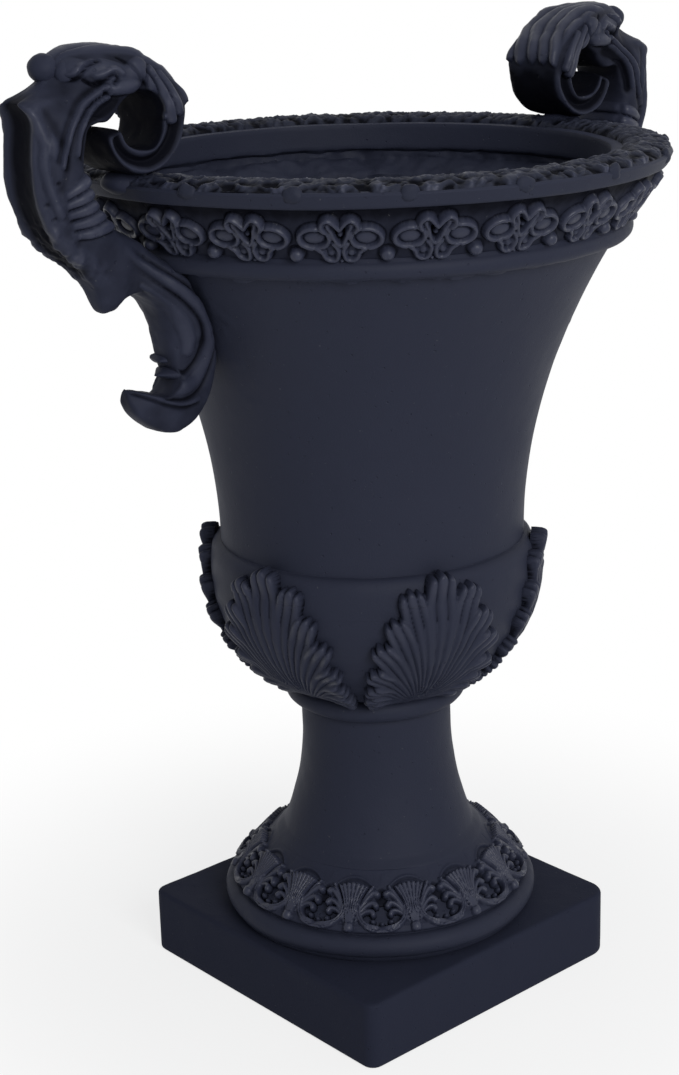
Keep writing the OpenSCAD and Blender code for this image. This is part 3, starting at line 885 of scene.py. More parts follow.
@dataclass
class Plinth:
    """Square block under the urn, with soft, slightly uneven arrises."""

    side: float = 280.0
    corner: float = 10.0
    soft_corner: float = 20.0
    arris: float = 3.5
    relief_r: float = 88.0
    relief_h: float = 5.0
    nut_r: float = 29.0
    nut_z: float = 28.0
    rod_r: float = 7.0
    ledge_r: float = 105.0
    ledge_h: float = 8.0
    steps: int = 480

    def profile(self) -> list[tuple[float, float]]:
        """Section of the block's side, from the lower arris to the upper one.

        Returns:
            Inset from the outer face and height of each point.
        """
        arc = [math.radians(a) for a in (0, 22.5, 45, 67.5, 90)]
        low = [(self.arris * (1 - math.sin(a)), self.arris * (1 - math.cos(a))) for a in arc]
        high = [(self.arris * (1 - math.cos(a)), URN.plinth_h - self.arris * (1 - math.sin(a))) for a in arc]
        sides = [(0.0, 8.0 + k * 6.0) for k in range(8)]
        return low + sides + high

    def build(self) -> bpy.types.Object:
        """Lofts the block's skin and closes it through the rod's bore.

        Returns:
            The finished piece.
        """
        turn = np.linspace(0.0, math.tau, self.steps + 1)
        c, s = np.cos(turn), np.sin(turn)
        corner = np.where((c > 0) & (s < 0), self.soft_corner, self.corner)
        rings = []
        for inset, z in self.profile():
            r = np.maximum(1.0, corner - inset * 0.5)
            rings.append((self.rounded_square(c, s, self.side / 2.0 - inset, r), z))
        ledge_z = URN.plinth_h - self.ledge_h
        under = [(self.rod_r, self.nut_z), (self.nut_r, self.nut_z), (self.nut_r, self.relief_h)]
        under += [(self.relief_r, self.relief_h), (self.relief_r + 1.5, 0.0)]
        top = [(self.ledge_r, URN.plinth_h), (self.ledge_r - 1.0, ledge_z), (self.rod_r, ledge_z)]
        under, top = ([(np.full_like(turn, r), z) for r, z in side] for side in (under, top))
        loops = [*under, *self.filled(under[-1], rings[0], 6), *rings, *self.filled(rings[-1], top[0], 14), *top]
        loops += [loops[0]]
        points = np.stack([round_point(turn, r, np.full_like(turn, z)) for r, z in loops], axis=1)
        mesh = moved_out(draped(self.steps, len(loops) - 1, points), self.unevenness)
        piece = finished("plinth_block", mesh, 40.0)
        # darker copy of the coated stone, as painted shade
        seat(piece, Finish.SHADED_PLINTH, "plinth")
        return piece

    def unevenness(self, x: Grid, y: Grid, z: Grid) -> Grid:
        """Wavy faces, and chips along the arrises.

        Args:
            x: First coordinate in mm.
            y: Second coordinate in mm.
            z: Height in mm.

        Returns:
            How far the skin stands out in mm.
        """
        half = self.side / 2
        chips = 0.9 * np.clip(cast_noise(x, y, z * 0.3, 21.0, 1) - 0.35, 0, 1)
        chips = chips * smooth_step(half - 5.0, half - 1.0, np.maximum(abs(x), abs(y)))
        return np.where(z > 6.0, 0.45 * cast_noise(x, y, z, 38.0, 3) - chips, 0.0) - 0.35

    @staticmethod
    def rounded_square(c: Grid, s: Grid, reach: float, corner: Grid) -> Grid:
        """Radius of a square with rounded corners, at angles given by cosine and sine.

        Args:
            c: Cosines of the angles.
            s: Sines of the angles.
            reach: Half the square's side.
            corner: Radius of the corners.

        Returns:
            Distance from the middle.
        """
        a, b = np.abs(c), np.abs(s)
        flat = reach / np.maximum(a, b)
        k = reach - corner
        mid = (a + b) * k
        arc = mid + np.sqrt(np.maximum(mid**2 - (2 * k * k - corner**2), 0.0))
        on_corner = np.minimum(a, b) * flat > k
        return np.where(on_corner, arc, flat)

    @staticmethod
    def filled(start: tuple[Grid, float], end: tuple[Grid, float], count: int) -> list[tuple[Grid, float]]:
        """Rings between two rings, evenly spread.

        Args:
            start: Radii and height of the first ring.
            end: Radii and height of the last ring.
            count: Number of rings between them.

        Returns:
            The new rings.
        """
        rings = []
        for k in range(1, count + 1):
            t = k / (count + 1)
            rings.append((start[0] * (1 - t) + end[0] * t, start[1] * (1 - t) + end[1] * t))
        return rings


@dataclass
class Pedestal:
    """Turned foot, stem and collar, with a garland of palmettes round the foot's slope."""

    bore_r: float = 38.0
    sunk: float = 4.2
    first: float = 215.3
    count: int = 14
    steps: int = 300
    garland_faces: tuple[int, int] = (1260, 76)

    def outline(self) -> list[tuple[float, float]]:
        """Section of the casting.

        Returns:
            Closed outline as radius and height.
        """
        br, bz, bm = URN.bead
        cr, cz, cm = URN.collar
        sunk_z = (84.0, 87.0, 90.0, 94.0, 98.0, 104.0, 110.0, 114.0)
        base = [(URN.foot_r - 1.5, URN.plinth_h), (URN.foot_r, URN.plinth_h + 2.0), (URN.foot_r + 1.2, bz - 6.5)]
        bead = arc_points((br, bz), (bm, bm), range(-40, 96, 9))
        step = [(URN.foot_edge[0] - 1.5, URN.foot_edge[1] - 0.6), (URN.foot_edge[0] - 2.0, URN.foot_edge[1] + 1.0)]
        slope = [(float(self.face(z)) - self.sunk, z) for z in sunk_z]
        slope += [(float(self.face(z)), z) for z in (118.2, 120.0, 122.0, 124.0, 126.0, 129.0)]
        stem = [(float(URN.stem_at(z)), z) for z in range(132, 240, 4)]
        collar = arc_points((cr, cz), (cm, cm), range(-70, 78, 9))
        top = [(cr + 1.0, URN.neck_z + 1.0), (self.bore_r, URN.neck_z + 1.0)]
        inside = [(self.bore_r, 110.0), (self.bore_r + 50.0, URN.plinth_h)]
        return base + bead + step + slope + stem + [(61.5, 239.5)] + collar + top + inside

    def build(self) -> list[bpy.types.Object]:
        """Turns the casting and carves its garland.

        Returns:
            The casting and the garland.
        """
        mesh = turned(refined(self.outline(), 3.0), self.steps, self.unevenness)
        casting = finished("pedestal_casting", mesh, 50.0)
        seat(casting, Finish.SMOOTH, "pedestal")
        band = CarvedBand(self.face, 80.6, 120.0, self.first, self.count)
        garland = finished("foot_garland", band.mesh(0.0, 360.0, self.garland_faces, self.carving), 60.0)
        seat(garland, Finish.CARVED, "foot_palmettes")
        return [casting, garland]

    @staticmethod
    def unevenness(x: Grid, y: Grid, z: Grid) -> Grid:
        """A slow wave, and chips on the foot's edge.

        Args:
            x: First coordinate in mm.
            y: Second coordinate in mm.
            z: Height in mm.

        Returns:
            How far the skin stands out in mm.
        """
        soft = 0.5 * cast_noise(x, y, z, 60.0, 2) + 0.16 * cast_noise(x, y, z, 11.0, 1)
        chips = -0.9 * np.clip(cast_noise(x, y, z, 9.0, 2) - 0.55, 0.0, 1.0) * (z < 84.0)
        return soft + chips

    @staticmethod
    def face(z: Grid) -> Grid:
        """Radius of the foot from its upper edge to the stem."""
        edge = URN.foot_edge[0] + (URN.slope_low[0] - URN.foot_edge[0]) * (z - URN.foot_edge[1]) / 5.5
        return np.where(z < URN.slope_low[1], edge, np.where(z < URN.slope_top_z, URN.slope_at(z), URN.stem_at(z)))

    @staticmethod
    def carving(a: Grid, b: Grid, half: Grid) -> Grid:
        """Height of the garland: palmettes, and loops with berries between them.

        Args:
            a: Distance from the palmette's middle line in mm.
            b: Distance up the slope in mm.
            half: Distance half way to the next palmette in mm.

        Returns:
            Heights in mm.
        """
        side = np.abs(a)
        gap = half - side
        # ground, sunk inside the loops and between the side leaves
        height = -3.6 * smooth_step(1.04, 0.86, np.hypot(gap / 16.5, (b - 14.5) / 10.5))
        height = np.minimum(height, -2.0 * smooth_step(1.0, 0.6, np.hypot(gap / 5.5, (b - 30.0) / 10.0)))
        # loops, each a flat ribbon with a line along its middle
        loop = rounded_path([(19.0, 22.0), (18.8, 15.0), (15.2, 8.6), (8.6, 4.6), (0.0, 3.3), (-8.6, 4.6)])
        d, _ = path_distance(gap, b, loop)
        ribbon_half = 2.6
        ribbon = 4.2 * bar_profile(d, ribbon_half) - 1.5 * soft_profile(d, 0.6)
        height = np.where(d < ribbon_half, np.maximum(height, ribbon), height)
        # berries
        for centre, radius in (((7.4, 10.4), 2.6), ((0.0, 8.4), 2.2)):
            height = set_on(height, dome(gap, b, centre, (radius, radius), 0.0, 4.4), 2.6)
        # side leaves, three plumes on each side of the sheaf
        for path, wide, tall in (
            ([(4.6, 10.0), (8.6, 15.5), (12.8, 18.6), (16.8, 18.6), (18.6, 15.8)], 2.3, 4.0),
            ([(4.8, 13.0), (8.8, 19.5), (13.2, 24.2), (17.2, 25.6), (19.8, 23.0)], 2.6, 4.6),
            ([(5.0, 16.0), (9.0, 24.0), (13.0, 30.5), (16.6, 34.0), (19.4, 32.6)], 2.9, 5.0),
            ([(5.6, 20.0), (9.4, 28.0), (12.8, 34.6), (15.4, 38.8)], 1.9, 4.2),
        ):
            height = laid(height, petal(side, b, rounded_path(path), 1.4, wide, tall), 0.3)
        # the sheaf of ribs that flares from the neck
        climb = (0.0, 8.0, 12.0, 16.0, 20.0, 25.0, 30.0, 35.0, 41.0, 60.0)
        width = np.interp(b, climb, (3.0, 3.2, 3.8, 4.6, 5.3, 6.3, 8.0, 10.4, 13.4, 14.2))
        lane = a / width
        cell = np.abs((lane * 3.4 + 0.5) % 1.0 - 0.5) * 2.0
        pipe = np.sqrt(np.clip(1.0 - 0.96 * cell**2, 0.0, 1.0))
        top = 42.5 - 3.4 * lane**2 - 1.3 * cell**2
        inside = smooth_step(1.03, 0.94, np.abs(lane)) * smooth_step(0.0, 1.4, top - b) * (b > 3.0)
        sheaf = inside * (2.4 + 0.055 * b + (0.5 + 1.5 * smooth_step(8.0, 26.0, b)) * (pipe - 0.35))
        height = np.where(inside > 0.0, np.maximum(height, sheaf), height)
        # the bulb at its foot, and the thin raised arch over its head
        height = laid(height, dome(side, b, (0.0, 4.4), (4.2, 4.6), 90.0, 5.0), 0.4)
        arch = b - (47.6 - 0.034 * a**2)
        ring = smooth_step(17.5, 14.0, side) * (b > 30.0)
        height = height + ring * (soft_profile(arch, 1.1) - soft_profile(arch + 2.4, 1.0))
        fade = smooth_step(0.4, 2.0, b) * smooth_step(53.0, 49.0, b)
        return (height + 0.2 * cast_noise(a, b, 0.0, 6.0, 2)) * fade


@dataclass
class Bell:
    """Trumpet-shaped body of the urn, smooth outside and rough within."""

    steps: int = 340

    def outline(self) -> list[tuple[float, float]]:
        """Section of the casting.

        Returns:
            Closed outline as radius and height.
        """
        heights = np.linspace(URN.cup_top_z, URN.rim_joint_z, 64)
        outer = [(float(URN.bell_at(z)), float(z)) for z in heights]
        inner = [(r - URN.wall, z) for r, z in reversed(outer)]
        return outer + inner

    def build(self) -> bpy.types.Object:
        """Turns the casting.

        Returns:
            The finished piece.
        """
        mesh = turned(refined(self.outline(), 3.6), self.steps, self.unevenness)
        piece = finished("bell_casting", mesh, 50.0)
        seat(piece, Finish.SMOOTH, "bell_body")
        return piece

    @staticmethod
    def unevenness(x: Grid, y: Grid, z: Grid) -> Grid:
        """A slow wave outside, with smears of mortar beside the handles, and a lumpy inside.

        Args:
            x: First coordinate in mm.
            y: Second coordinate in mm.
            z: Height in mm.

        Returns:
            How far the skin stands out in mm.
        """
        r = np.hypot(x, y)
        outside = r > URN.bell_at(z) - URN.wall / 2
        calm = 0.6 * cast_noise(x, y, z, 90.0, 2) + 0.12 * cast_noise(x, y, z, 16.0, 1)
        beside = soft_profile(np.abs(y) - 31.0, 9.0) * smooth_step(500.0, 530.0, z) * smooth_step(640.0, 600.0, z)
        smear = 1.5 * beside * np.clip(cast_noise(x, y, z * 0.7, 10.0, 2), -0.2, 1.0)
        rough = 1.9 * cast_noise(x, y, z, 15.0, 3) * smooth_step(470.0, 560.0, z) + 0.8 * cast_noise(x, y, z, 30.0, 2)
        return np.where(outside, calm + smear, rough)


@dataclass
class BowlShoulder:
    """Rounded shoulder cast on the bowl's upper edge, where the bell stands in from it."""

    section: Path = (
        (128.0, 349.0), (132.25, 351.0), (132.5, 358.0), (132.4, 365.0), (132.0, 371.0), (131.0, 375.5), (129.2, 379.2),
        (126.8, 381.6), (123.6, 382.8), (120.0, 383.2), (120.0, 376.0), (126.0, 360.0),
    )
    steps: int = 320

    def build(self) -> bpy.types.Object:
        """Turns the shoulder.

        Returns:
            The finished piece.
        """
        piece = finished("bowl_shoulder", turned(refined(self.section, 2.4), self.steps, self.unevenness), 50.0)
        seat(piece, Finish.SMOOTH)
        return piece

    @staticmethod
    def unevenness(x: Grid, y: Grid, z: Grid) -> Grid:
        """How far the skin stands out in mm above the bowl's own skin."""
        return 0.3 * cast_noise(x, y, z, 40.0, 2) * (z > 353.0)


@dataclass
class Rim:
    """Rim casting with its sloping frieze of heart motifs and beads, and the rough leaf edge on top."""

    sunk: float = 6.4
    first: float = 206.2
    count: int = 21
    lip_h: float = 22.0
    steps: int = 420
    frieze_faces: tuple[int, int] = (1050, 66)
    edge_faces: tuple[int, int] = (1500, 60)
    tab_angles: tuple[float, ...] = (
        197.0, 216.0, 235.2, 255.5, 276.0, 300.0, 322.0, 350.0, 12.0, 41.0, 66.0, 92.0, 118.0, 147.0, 170.0,
    )
    tab_half: tuple[float, float, float] = (3.1, 7.4, 5.6)

    def outline(self) -> list[tuple[float, float]]:
        """Section of the casting, with the frieze's panel sunk for the carved strip.

        Returns:
            Closed outline as radius and height.
        """
        bell, edge, mouth = URN.bell_mouth_r, URN.rim_r, URN.mouth_r
        joint, top, lip = URN.rim_joint_z, URN.rim_top_z, URN.rim_top_z - self.lip_h
        (low_r, low_z), (high_r, high_z) = URN.frieze_low, URN.frieze_high
        tube_r, tube_z = bell + 1.4, joint - 0.8
        moulding = [(bell - 23.0, joint), (bell - 2.0, joint), (bell - 3.6, tube_z - 7.4)]
        moulding += arc_points((tube_r, tube_z), (6.6, 7.4), range(-82, 62, 9))
        panel = [(low_r - 1.0, low_z - 1.4), (low_r - 4.0, low_z + 2.0), (high_r - self.sunk, high_z + 0.4)]
        fascia = [(high_r - 1.2, high_z + 1.8), (edge - 4.6, high_z + 2.4), (edge - 3.4, high_z + 3.8)]
        fascia += [(edge, top - 2.0), (edge - 0.8, top - 0.6), (edge - 2.0, top)]
        inner = [(mouth + 2.0, top), (mouth + 0.5, top - 0.5), (mouth, top - 2.0), (mouth, lip + 2.0)]
        inner += [(mouth + 0.6, lip + 0.6), (mouth + 2.0, lip), (mouth + 6.0, lip - 2.0), (mouth + 6.0, lip - 8.0)]
        inner += [(bell - 23.0, lip - 20.0)]
        return moulding + panel + fascia + inner

    def build(self) -> list[bpy.types.Object]:
        """Turns the rim, carves its frieze and lays the leaf edge.

        Returns:
            The casting, the two halves of the frieze and the leaf edge.
        """
        mesh = turned(refined(self.outline(), 2.6), self.steps, self.unevenness)
        casting = finished("rim_casting", mesh, 46.0)
        seat(casting, Finish.SMOOTH, "rim_ring")
        band = CarvedBand(URN.frieze_at, URN.frieze_low[1] - 1.8, URN.frieze_high[1] + 1.6, self.first, self.count)
        pieces = [casting]
        for name, start in (("frieze_front", 180.0), ("frieze_back", 0.0)):
            strip = finished(name, band.mesh(start, start + 180.0, self.frieze_faces, self.carving), 60.0)
            seat(strip, Finish.CARVED, "frieze_motifs", "frieze_beads")
            pieces.append(strip)
        pieces.append(self.leaf_edge())
        return pieces

    @staticmethod
    def unevenness(x: Grid, y: Grid, z: Grid) -> Grid:
        """A calm skin outside and on the lip, and a rough one in the undercut.

        Args:
            x: First coordinate in mm.
            y: Second coordinate in mm.
            z: Height in mm.

        Returns:
            How far the skin stands out in mm.
        """
        r = np.hypot(x, y)
        calm = 0.4 * cast_noise(x, y, z, 50.0, 2) + 0.14 * cast_noise(x, y, z, 12.0, 1)
        deep = smooth_step(669.0, 662.0, z) * (r < 200.0)
        return calm * (1.0 - deep) + deep * 3.4 * cast_noise(x, y, z, 15.0, 3)

    @staticmethod
    def carving(a: Grid, b: Grid, half: Grid) -> Grid:
        """Height of the frieze: two loops, two scrolls and a heart, with a bead between motifs.

        Args:
            a: Distance from the motif's middle line in mm.
            b: Distance up the slope in mm.
            half: Distance half way to the next motif in mm.

        Returns:
            Heights in mm.
        """
        side = np.abs(a)
        ring = arc_points((17.6, 22.6), (10.6, 8.8), range(0, 361, 15))
        drop = rounded_path([
            (15.6, 12.6), (12.6, 9.6), (10.9, 5.2), (7.4, 2.6), (3.6, 3.4), (2.0, 7.4), (1.9, 13.0), (4.6, 17.6),
        ])
        scroll = rounded_path([(10.6, 29.0), (12.4, 33.0), (11.2, 37.2), (7.8, 39.0), (4.2, 36.6), (0.0, 30.8)])
        heart = rounded_path([(8.0, 31.4), (5.9, 28.6), (4.9, 24.6), (2.6, 19.0), (0.0, 15.8)])
        # the ground is hollowed under the fascia
        height = -1.2 * smooth_step(31.0, 41.0, b) - 1.2
        # a low pad carries the ribbons
        pad = np.minimum.reduce([
            np.hypot((side - 17.6) / 12.6, (b - 22.6) / 10.8), np.hypot((side - 6.8) / 6.6, (b - 9.0) / 8.8),
            np.hypot((side - 7.2) / 7.6, (b - 32.5) / 8.8),
        ])
        height = np.maximum(height, 0.1 * smooth_step(1.04, 0.96, pad) - 3.1 * smooth_step(0.96, 1.04, pad))
        # deep heart between the scrolls
        height = height - 3.0 * smooth_step(1.0, 0.7, np.hypot(side / 5.6, (b - 25.0) / 6.6)) * (b < 31.0)
        # pads, knobs and the small diamond inside the ribbons
        for centre, half_size, tilt, tall in (
            ((17.6, 22.4), (8.0, 5.8), 0.0, 3.0), ((6.6, 8.8), (2.8, 4.6), 78.0, 2.6),
            ((8.4, 33.0), (3.0, 3.4), 0.0, 4.0), ((0.0, 24.4), (1.6, 2.2), 90.0, 1.6),
        ):
            height = set_on(height, dome(side, b, centre, half_size, tilt, tall), 0.4)
        for line, radius, lift in ((ring, 2.1, 3.9), (drop, 1.9, 3.6), (heart, 1.7, 3.4), (scroll, 1.9, 4.6)):
            d, _ = path_distance(side, b, line)
            height = height - 0.9 * soft_profile(d - radius - 0.7, 0.7)
            height = laid(height, lift * bar_profile(d, radius), 0.3)
        height = laid(height, dome(side, b, (0.0, 1.8), (1.8, 1.8), 0.0, 2.8), 0.3)
        # a bead half way to the next motif, in a ring of shadow
        away = np.hypot(half - side, b - 6.8)
        height = set_on(height, 5.4 * bar_profile(away, 5.2)) - soft_profile(away - 6.2, 1.1)
        return height + 0.25 * cast_noise(a, b, 0.0, 7.0, 2)

    def leaf_edge(self) -> bpy.types.Object:
        """Ring of rough, overlapping leaf tips on the rim's top face.

        Returns:
            The finished piece.
        """
        columns, rows = self.edge_faces
        angle = np.tile(np.linspace(0.0, 360.0, columns + 1)[:, None], rows + 1)
        r_in, r_out = URN.mouth_r + 8.5, URN.rim_r - 1.6
        # section of the ring: up from the lip, over the leaves and down behind the fascia's edge
        path = np.array([
            (0.0, -1.2), (0.015, 1.2), (0.07, 3.2), (0.24, 5.0), (0.48, 5.6), (0.70, 4.8), (0.87, 3.4), (0.97, 1.8),
            (1.0, -0.2), (0.98, -1.6), (0.86, -2.0), (0.45, -2.2), (0.0, -1.2),
        ])
        spot = through_stations(path, np.linspace(0.0, 1.0, rows + 1) * (len(path) - 1))
        place, up = spot[None, :, 0], spot[None, :, 1]
        upper = smooth_step(0.0, 2.4, up)
        ring = r_in + (r_out - r_in) * place
        x0, y0 = ring * np.cos(np.radians(angle)), ring * np.sin(np.radians(angle))
        # leaf tips that point outwards and lean, in two rows, each with a middle fold
        lean = angle * 46.0 / 360.0 + 0.5 * cast_noise(x0, y0, 0.0, 60.0, 1)
        leaf = np.zeros_like(angle)
        for shift, start, end, tall in ((0.0, 0.20, 1.04, 1.0), (0.5, -0.1, 0.62, 1.25)):
            lane = ((lean + shift + 0.9 * place) % 1.0 - 0.5) * 2.0
            run = np.clip((place - start) / (end - start), 0.0, 1.0)
            width = 1.02 * np.sqrt(np.clip(1.0 - run**3, 0.0, 1.0))
            body = np.clip(1.0 - np.abs(lane) / np.maximum(width, 0.01), 0.0, 1.0)
            tip = tall * (0.5 + 0.9 * run) * body**0.45 * (place > start) * (run < 1.0)
            leaf = np.maximum(leaf, tip - 0.7 * soft_profile(lane, 0.09) * body)
        crumple = 1.0 - 2.2 * np.abs(cast_noise(x0, y0, 0.0, 9.0, 2))
        fine = 1.0 - 2.0 * np.abs(cast_noise(x0, y0, 50.0, 4.2, 1))
        lumps = 1.5 * leaf + 1.2 * crumple + 0.5 * fine - 1.0
        r = ring + upper * (0.8 * cast_noise(x0, y0, 90.0, 7.0, 2) + 2.2 * (leaf - 0.5) * place**4)
        z = URN.rim_top_z + up + upper * lumps
        shade = 1.5 * lumps - 1.3 + 0.8 * smooth_step(0.8, 1.0, place)
        points = round_point(np.radians(angle), r, z)
        mesh = joined([draped(columns, rows, points, shade), *self.tabs()])
        piece = finished("rim_leaf_edge", mesh, 60.0)
        seat(piece, Finish.ROUGH, "rim_crest")
        return piece

    def tabs(self) -> list[bpy.types.Mesh]:
        """Rounded leaf tips that hang over the fascia's edge at uneven distances.

        Returns:
            Their meshes in metres.
        """
        meshes = []
        for middle in self.tab_angles:
            bm = ball((URN.rim_r - 1.8, 0.0, URN.rim_top_z - 0.9), self.tab_half, segments=16, rings=12)
            bmesh.ops.rotate(bm, cent=Vector(), matrix=Matrix.Rotation(math.radians(middle), 3, "Z"), verts=bm.verts)
            meshes.append(moved_out(welded(bm), lambda x, y, z: 1.1 * cast_noise(x, y, z, 5.5, 2)))
        return meshes


@dataclass
class AcanthusLeaves:
    """Six acanthus leaves that hold the bowl, fluted fans with rounded lobes whose tips stand free."""

    first: float = 10.0
    count: int = 6
    base_z: float = 261.0
    cell: float = 0.85
    half_width: float = 68.0
    length: float = 150.0

    def lobes(self) -> list[tuple[float, float, float, float, bool]]:
        """Lobes of one leaf, the lower ones first.

        Returns:
            For each lobe the angle of its ray, its length, half the angle that its body fills, half the width
            of its tip, and whether it is one of the large ones.
        """
        small = [(4.9, 133.0, 3.5, 4.6, False), (13.8, 116.0, 3.5, 4.6, False), (22.9, 100.0, 4.0, 4.4, False),
                 (34.5, 82.0, 5.0, 4.4, False), (48.0, 63.0, 6.0, 4.2, False), (65.0, 47.0, 8.0, 4.0, False)]
        large = [(97.0, 49.0, 17.0, 8.0, True), (75.0, 59.0, 14.0, 8.8, True), (56.0, 70.0, 11.0, 9.0, True),
                 (41.0, 86.0, 8.5, 9.6, True), (28.0, 106.0, 7.4, 10.2, True), (17.8, 121.0, 6.4, 10.2, True),
                 (9.7, 139.5, 6.0, 10.8, True)]
        small += [(-angle, *rest) for angle, *rest in small]
        large += [(-angle, *rest) for angle, *rest in large]
        return [*small, *large, (0.0, 149.0, 6.8, 12.4, True)]

    def flat_leaf(self) -> tuple[bpy.types.Mesh, Grid]:
        """Cuts one leaf out of a flat grid and gives it its underside.

        Returns:
            The flat mesh, with x across, y up the bowl and z the lift in mm, and a table of its points.
        """
        wide, tall = 2 * self.half_width, self.length + 4.0
        columns, rows = round(wide / self.cell), round(tall / self.cell)
        bm = bmesh.new()
        bmesh.ops.create_grid(bm, x_segments=columns, y_segments=rows, size=0.5)
        start = np.array([vert.co[:2] for vert in bm.verts])
        x, m = start[:, 0] * wide, (start[:, 1] + 0.5) * tall - 3.0
        inside, lift, shade = self.shape(x, m)
        step = 0.4
        gx = (self.shape(x + step, m)[0] - self.shape(x - step, m)[0]) / (2 * step)
        gm = (self.shape(x, m + step)[0] - self.shape(x, m - step)[0]) / (2 * step)
        slope = np.maximum(gx**2 + gm**2, 0.2)
        # points near the outline move on to it, so that the edge runs smoothly
        snap = inside < 0.35 * self.cell
        x = np.where(snap, x - inside * gx / slope, x)
        m = np.where(snap, m - inside * gm / slope, m)
        lift = np.where(snap, np.minimum(lift, 1.6), lift)
        bm.verts.ensure_lookup_table()
        out = [face for face in bm.faces if min(inside[v.index] for v in face.verts) < -0.62 * self.cell]
        for vert, vx, vm, vl in zip(bm.verts, x, m, lift):
            vert.co = (vx, vm, vl)
        mark = bm.verts.layers.float.new(RELIEF)
        for vert, value in zip(bm.verts, shade):
            vert[mark] = value
        bmesh.ops.delete(bm, geom=out, context="FACES")
        grown = bmesh.ops.extrude_face_region(bm, geom=list(bm.faces))
        for item in grown["geom"]:
            if isinstance(item, bmesh.types.BMVert):
                item.co.z = -1.6
                # the underside is painted darker, as shade
                item[mark] = -1.0
        bmesh.ops.recalc_face_normals(bm, faces=bm.faces)
        mesh = bpy.data.meshes.new("flat_leaf")
        bm.to_mesh(mesh)
        bm.free()
        flat = np.empty(len(mesh.vertices) * 3)
        mesh.vertices.foreach_get("co", flat)
        return mesh, flat.reshape(-1, 3)

    def shape(self, x: Grid, m: Grid) -> tuple[Grid, Grid, Grid]:
        """Outline and height of a leaf.

        Args:
            x: Distance across from the middle rib in mm.
            m: Distance up the bowl in mm.

        Returns:
            How far inside the outline a point is, its height, and the carving's shading.
        """
        reach = np.hypot(x, m)
        spread = 0.60 + 0.40 * np.clip(reach / 112.0, 0.0, 1.15) ** 0.9
        ray = np.degrees(np.arctan2(x, m)) / spread
        inside = np.full(np.shape(x), -9.0)
        height = np.zeros(np.shape(x))
        shade = np.full(np.shape(x), -1.0)
        for angle, length, fill, half, large in self.lobes():
            across = np.radians(ray - angle) * spread * reach
            body = np.radians(fill) * spread * reach
            grown = body + (half - body) * smooth_step(length - 36.0, length - 15.0, reach)
            grown = np.maximum(np.where(reach < length - 15.0, np.maximum(grown, np.minimum(body, half)), grown), 0.3)
            lane = across / grown
            cell = np.abs((np.clip(lane, -1.0, 1.0) * (1.5 if large else 1.0) + 0.5) % 1.0 - 0.5) * 2.0
            cap = 0.95 * half
            end = length - (3.6 if large else 0.0) * cell**2
            over = np.clip((reach - (end - cap)) / cap, 0.0, 3.0)
            edge = (1.0 - np.hypot(lane, over)) * grown
            tip = smooth_step(length - 30.0, length - 8.0, reach)
            pipes = np.sqrt(np.clip(1.0 - 0.97 * cell**2, 0.0, 1.0))
            crown = 2.0 + 5.6 * np.clip(reach / 147.0, 0.0, 1.0) ** 0.8
            crown = crown + (3.4 if large else -1.2) * smooth_step(length - 24.0, length - 5.0, reach)
            crown = crown - (0.0 if large else 0.8)
            calm = 1.0 - 0.6 * smooth_step(length - 9.0, length, reach)
            flute = (0.8 + 2.0 * smooth_step(10.0, 60.0, reach)) * (pipes - 0.8) * calm
            fall = 0.74 - 0.46 * tip
            rounded = np.sqrt(np.clip(1.0 - (1.0 - np.clip(edge / (1.2 + 2.6 * tip), 0.0, 1.0)) ** 2, 0.0, 1.0))
            rise = (crown + flute) * (fall + (1.0 - fall) * rounded)
            rise = np.where(edge > 0.0, rise, np.where(edge > -1.2, rise * np.clip(1.0 + edge / 1.2, 0.0, 1.0), 0.0))
            level = 3.4 * (pipes - 0.7) + 1.5 * tip - 3.4 * (1.0 - rounded) * (0.4 + 0.6 * tip)
            shade = np.where(rise > height, level, shade)
            height = np.maximum(height, rise)
            inside = np.maximum(inside, edge)
        return inside, height, shade

    def build(self) -> list[bpy.types.Object]:
        """Wraps the leaf round the bowl six times.

        Returns:
            The six leaves.
        """
        mesh, flat = self.flat_leaf()
        climb = np.linspace(self.base_z - 6.0, URN.cup_top_z + 40.0, SECTION_POINTS)
        face = URN.cup_at(np.minimum(climb, URN.leaf_free_z))
        walk = walked(climb, face)
        walk = walk - np.interp(self.base_z, climb, walk)
        x, m, flat_lift = flat[:, 0], flat[:, 1], flat[:, 2]
        z = np.interp(m, walk, climb)
        # near the bowl's foot the leaf is narrower than a plain wrap would make it
        bend = x / (URN.cup_r * 0.35 + np.interp(z, climb, face) * 0.65)
        leaves = []
        for k in range(self.count):
            middle = math.radians(self.first + 360.0 / self.count * k)
            wave = 0.5 * cast_noise(x + 200.0 * k, m, 0.0, 14.0, 2)
            lift = flat_lift + np.where(flat_lift > 0.0, wave, 0.0)
            points = over_face(middle + bend, z, lift, climb, face)
            leaf = mesh.copy()
            leaf.vertices.foreach_set("co", (points * MM).ravel())
            leaf.update()
            piece = finished(f"acanthus_leaf_{k + 1}", leaf, 60.0)
            seat(piece, Finish.CARVED, "acanthus_leaves")
            leaves.append(piece)
        bpy.data.meshes.remove(mesh)
        return leaves


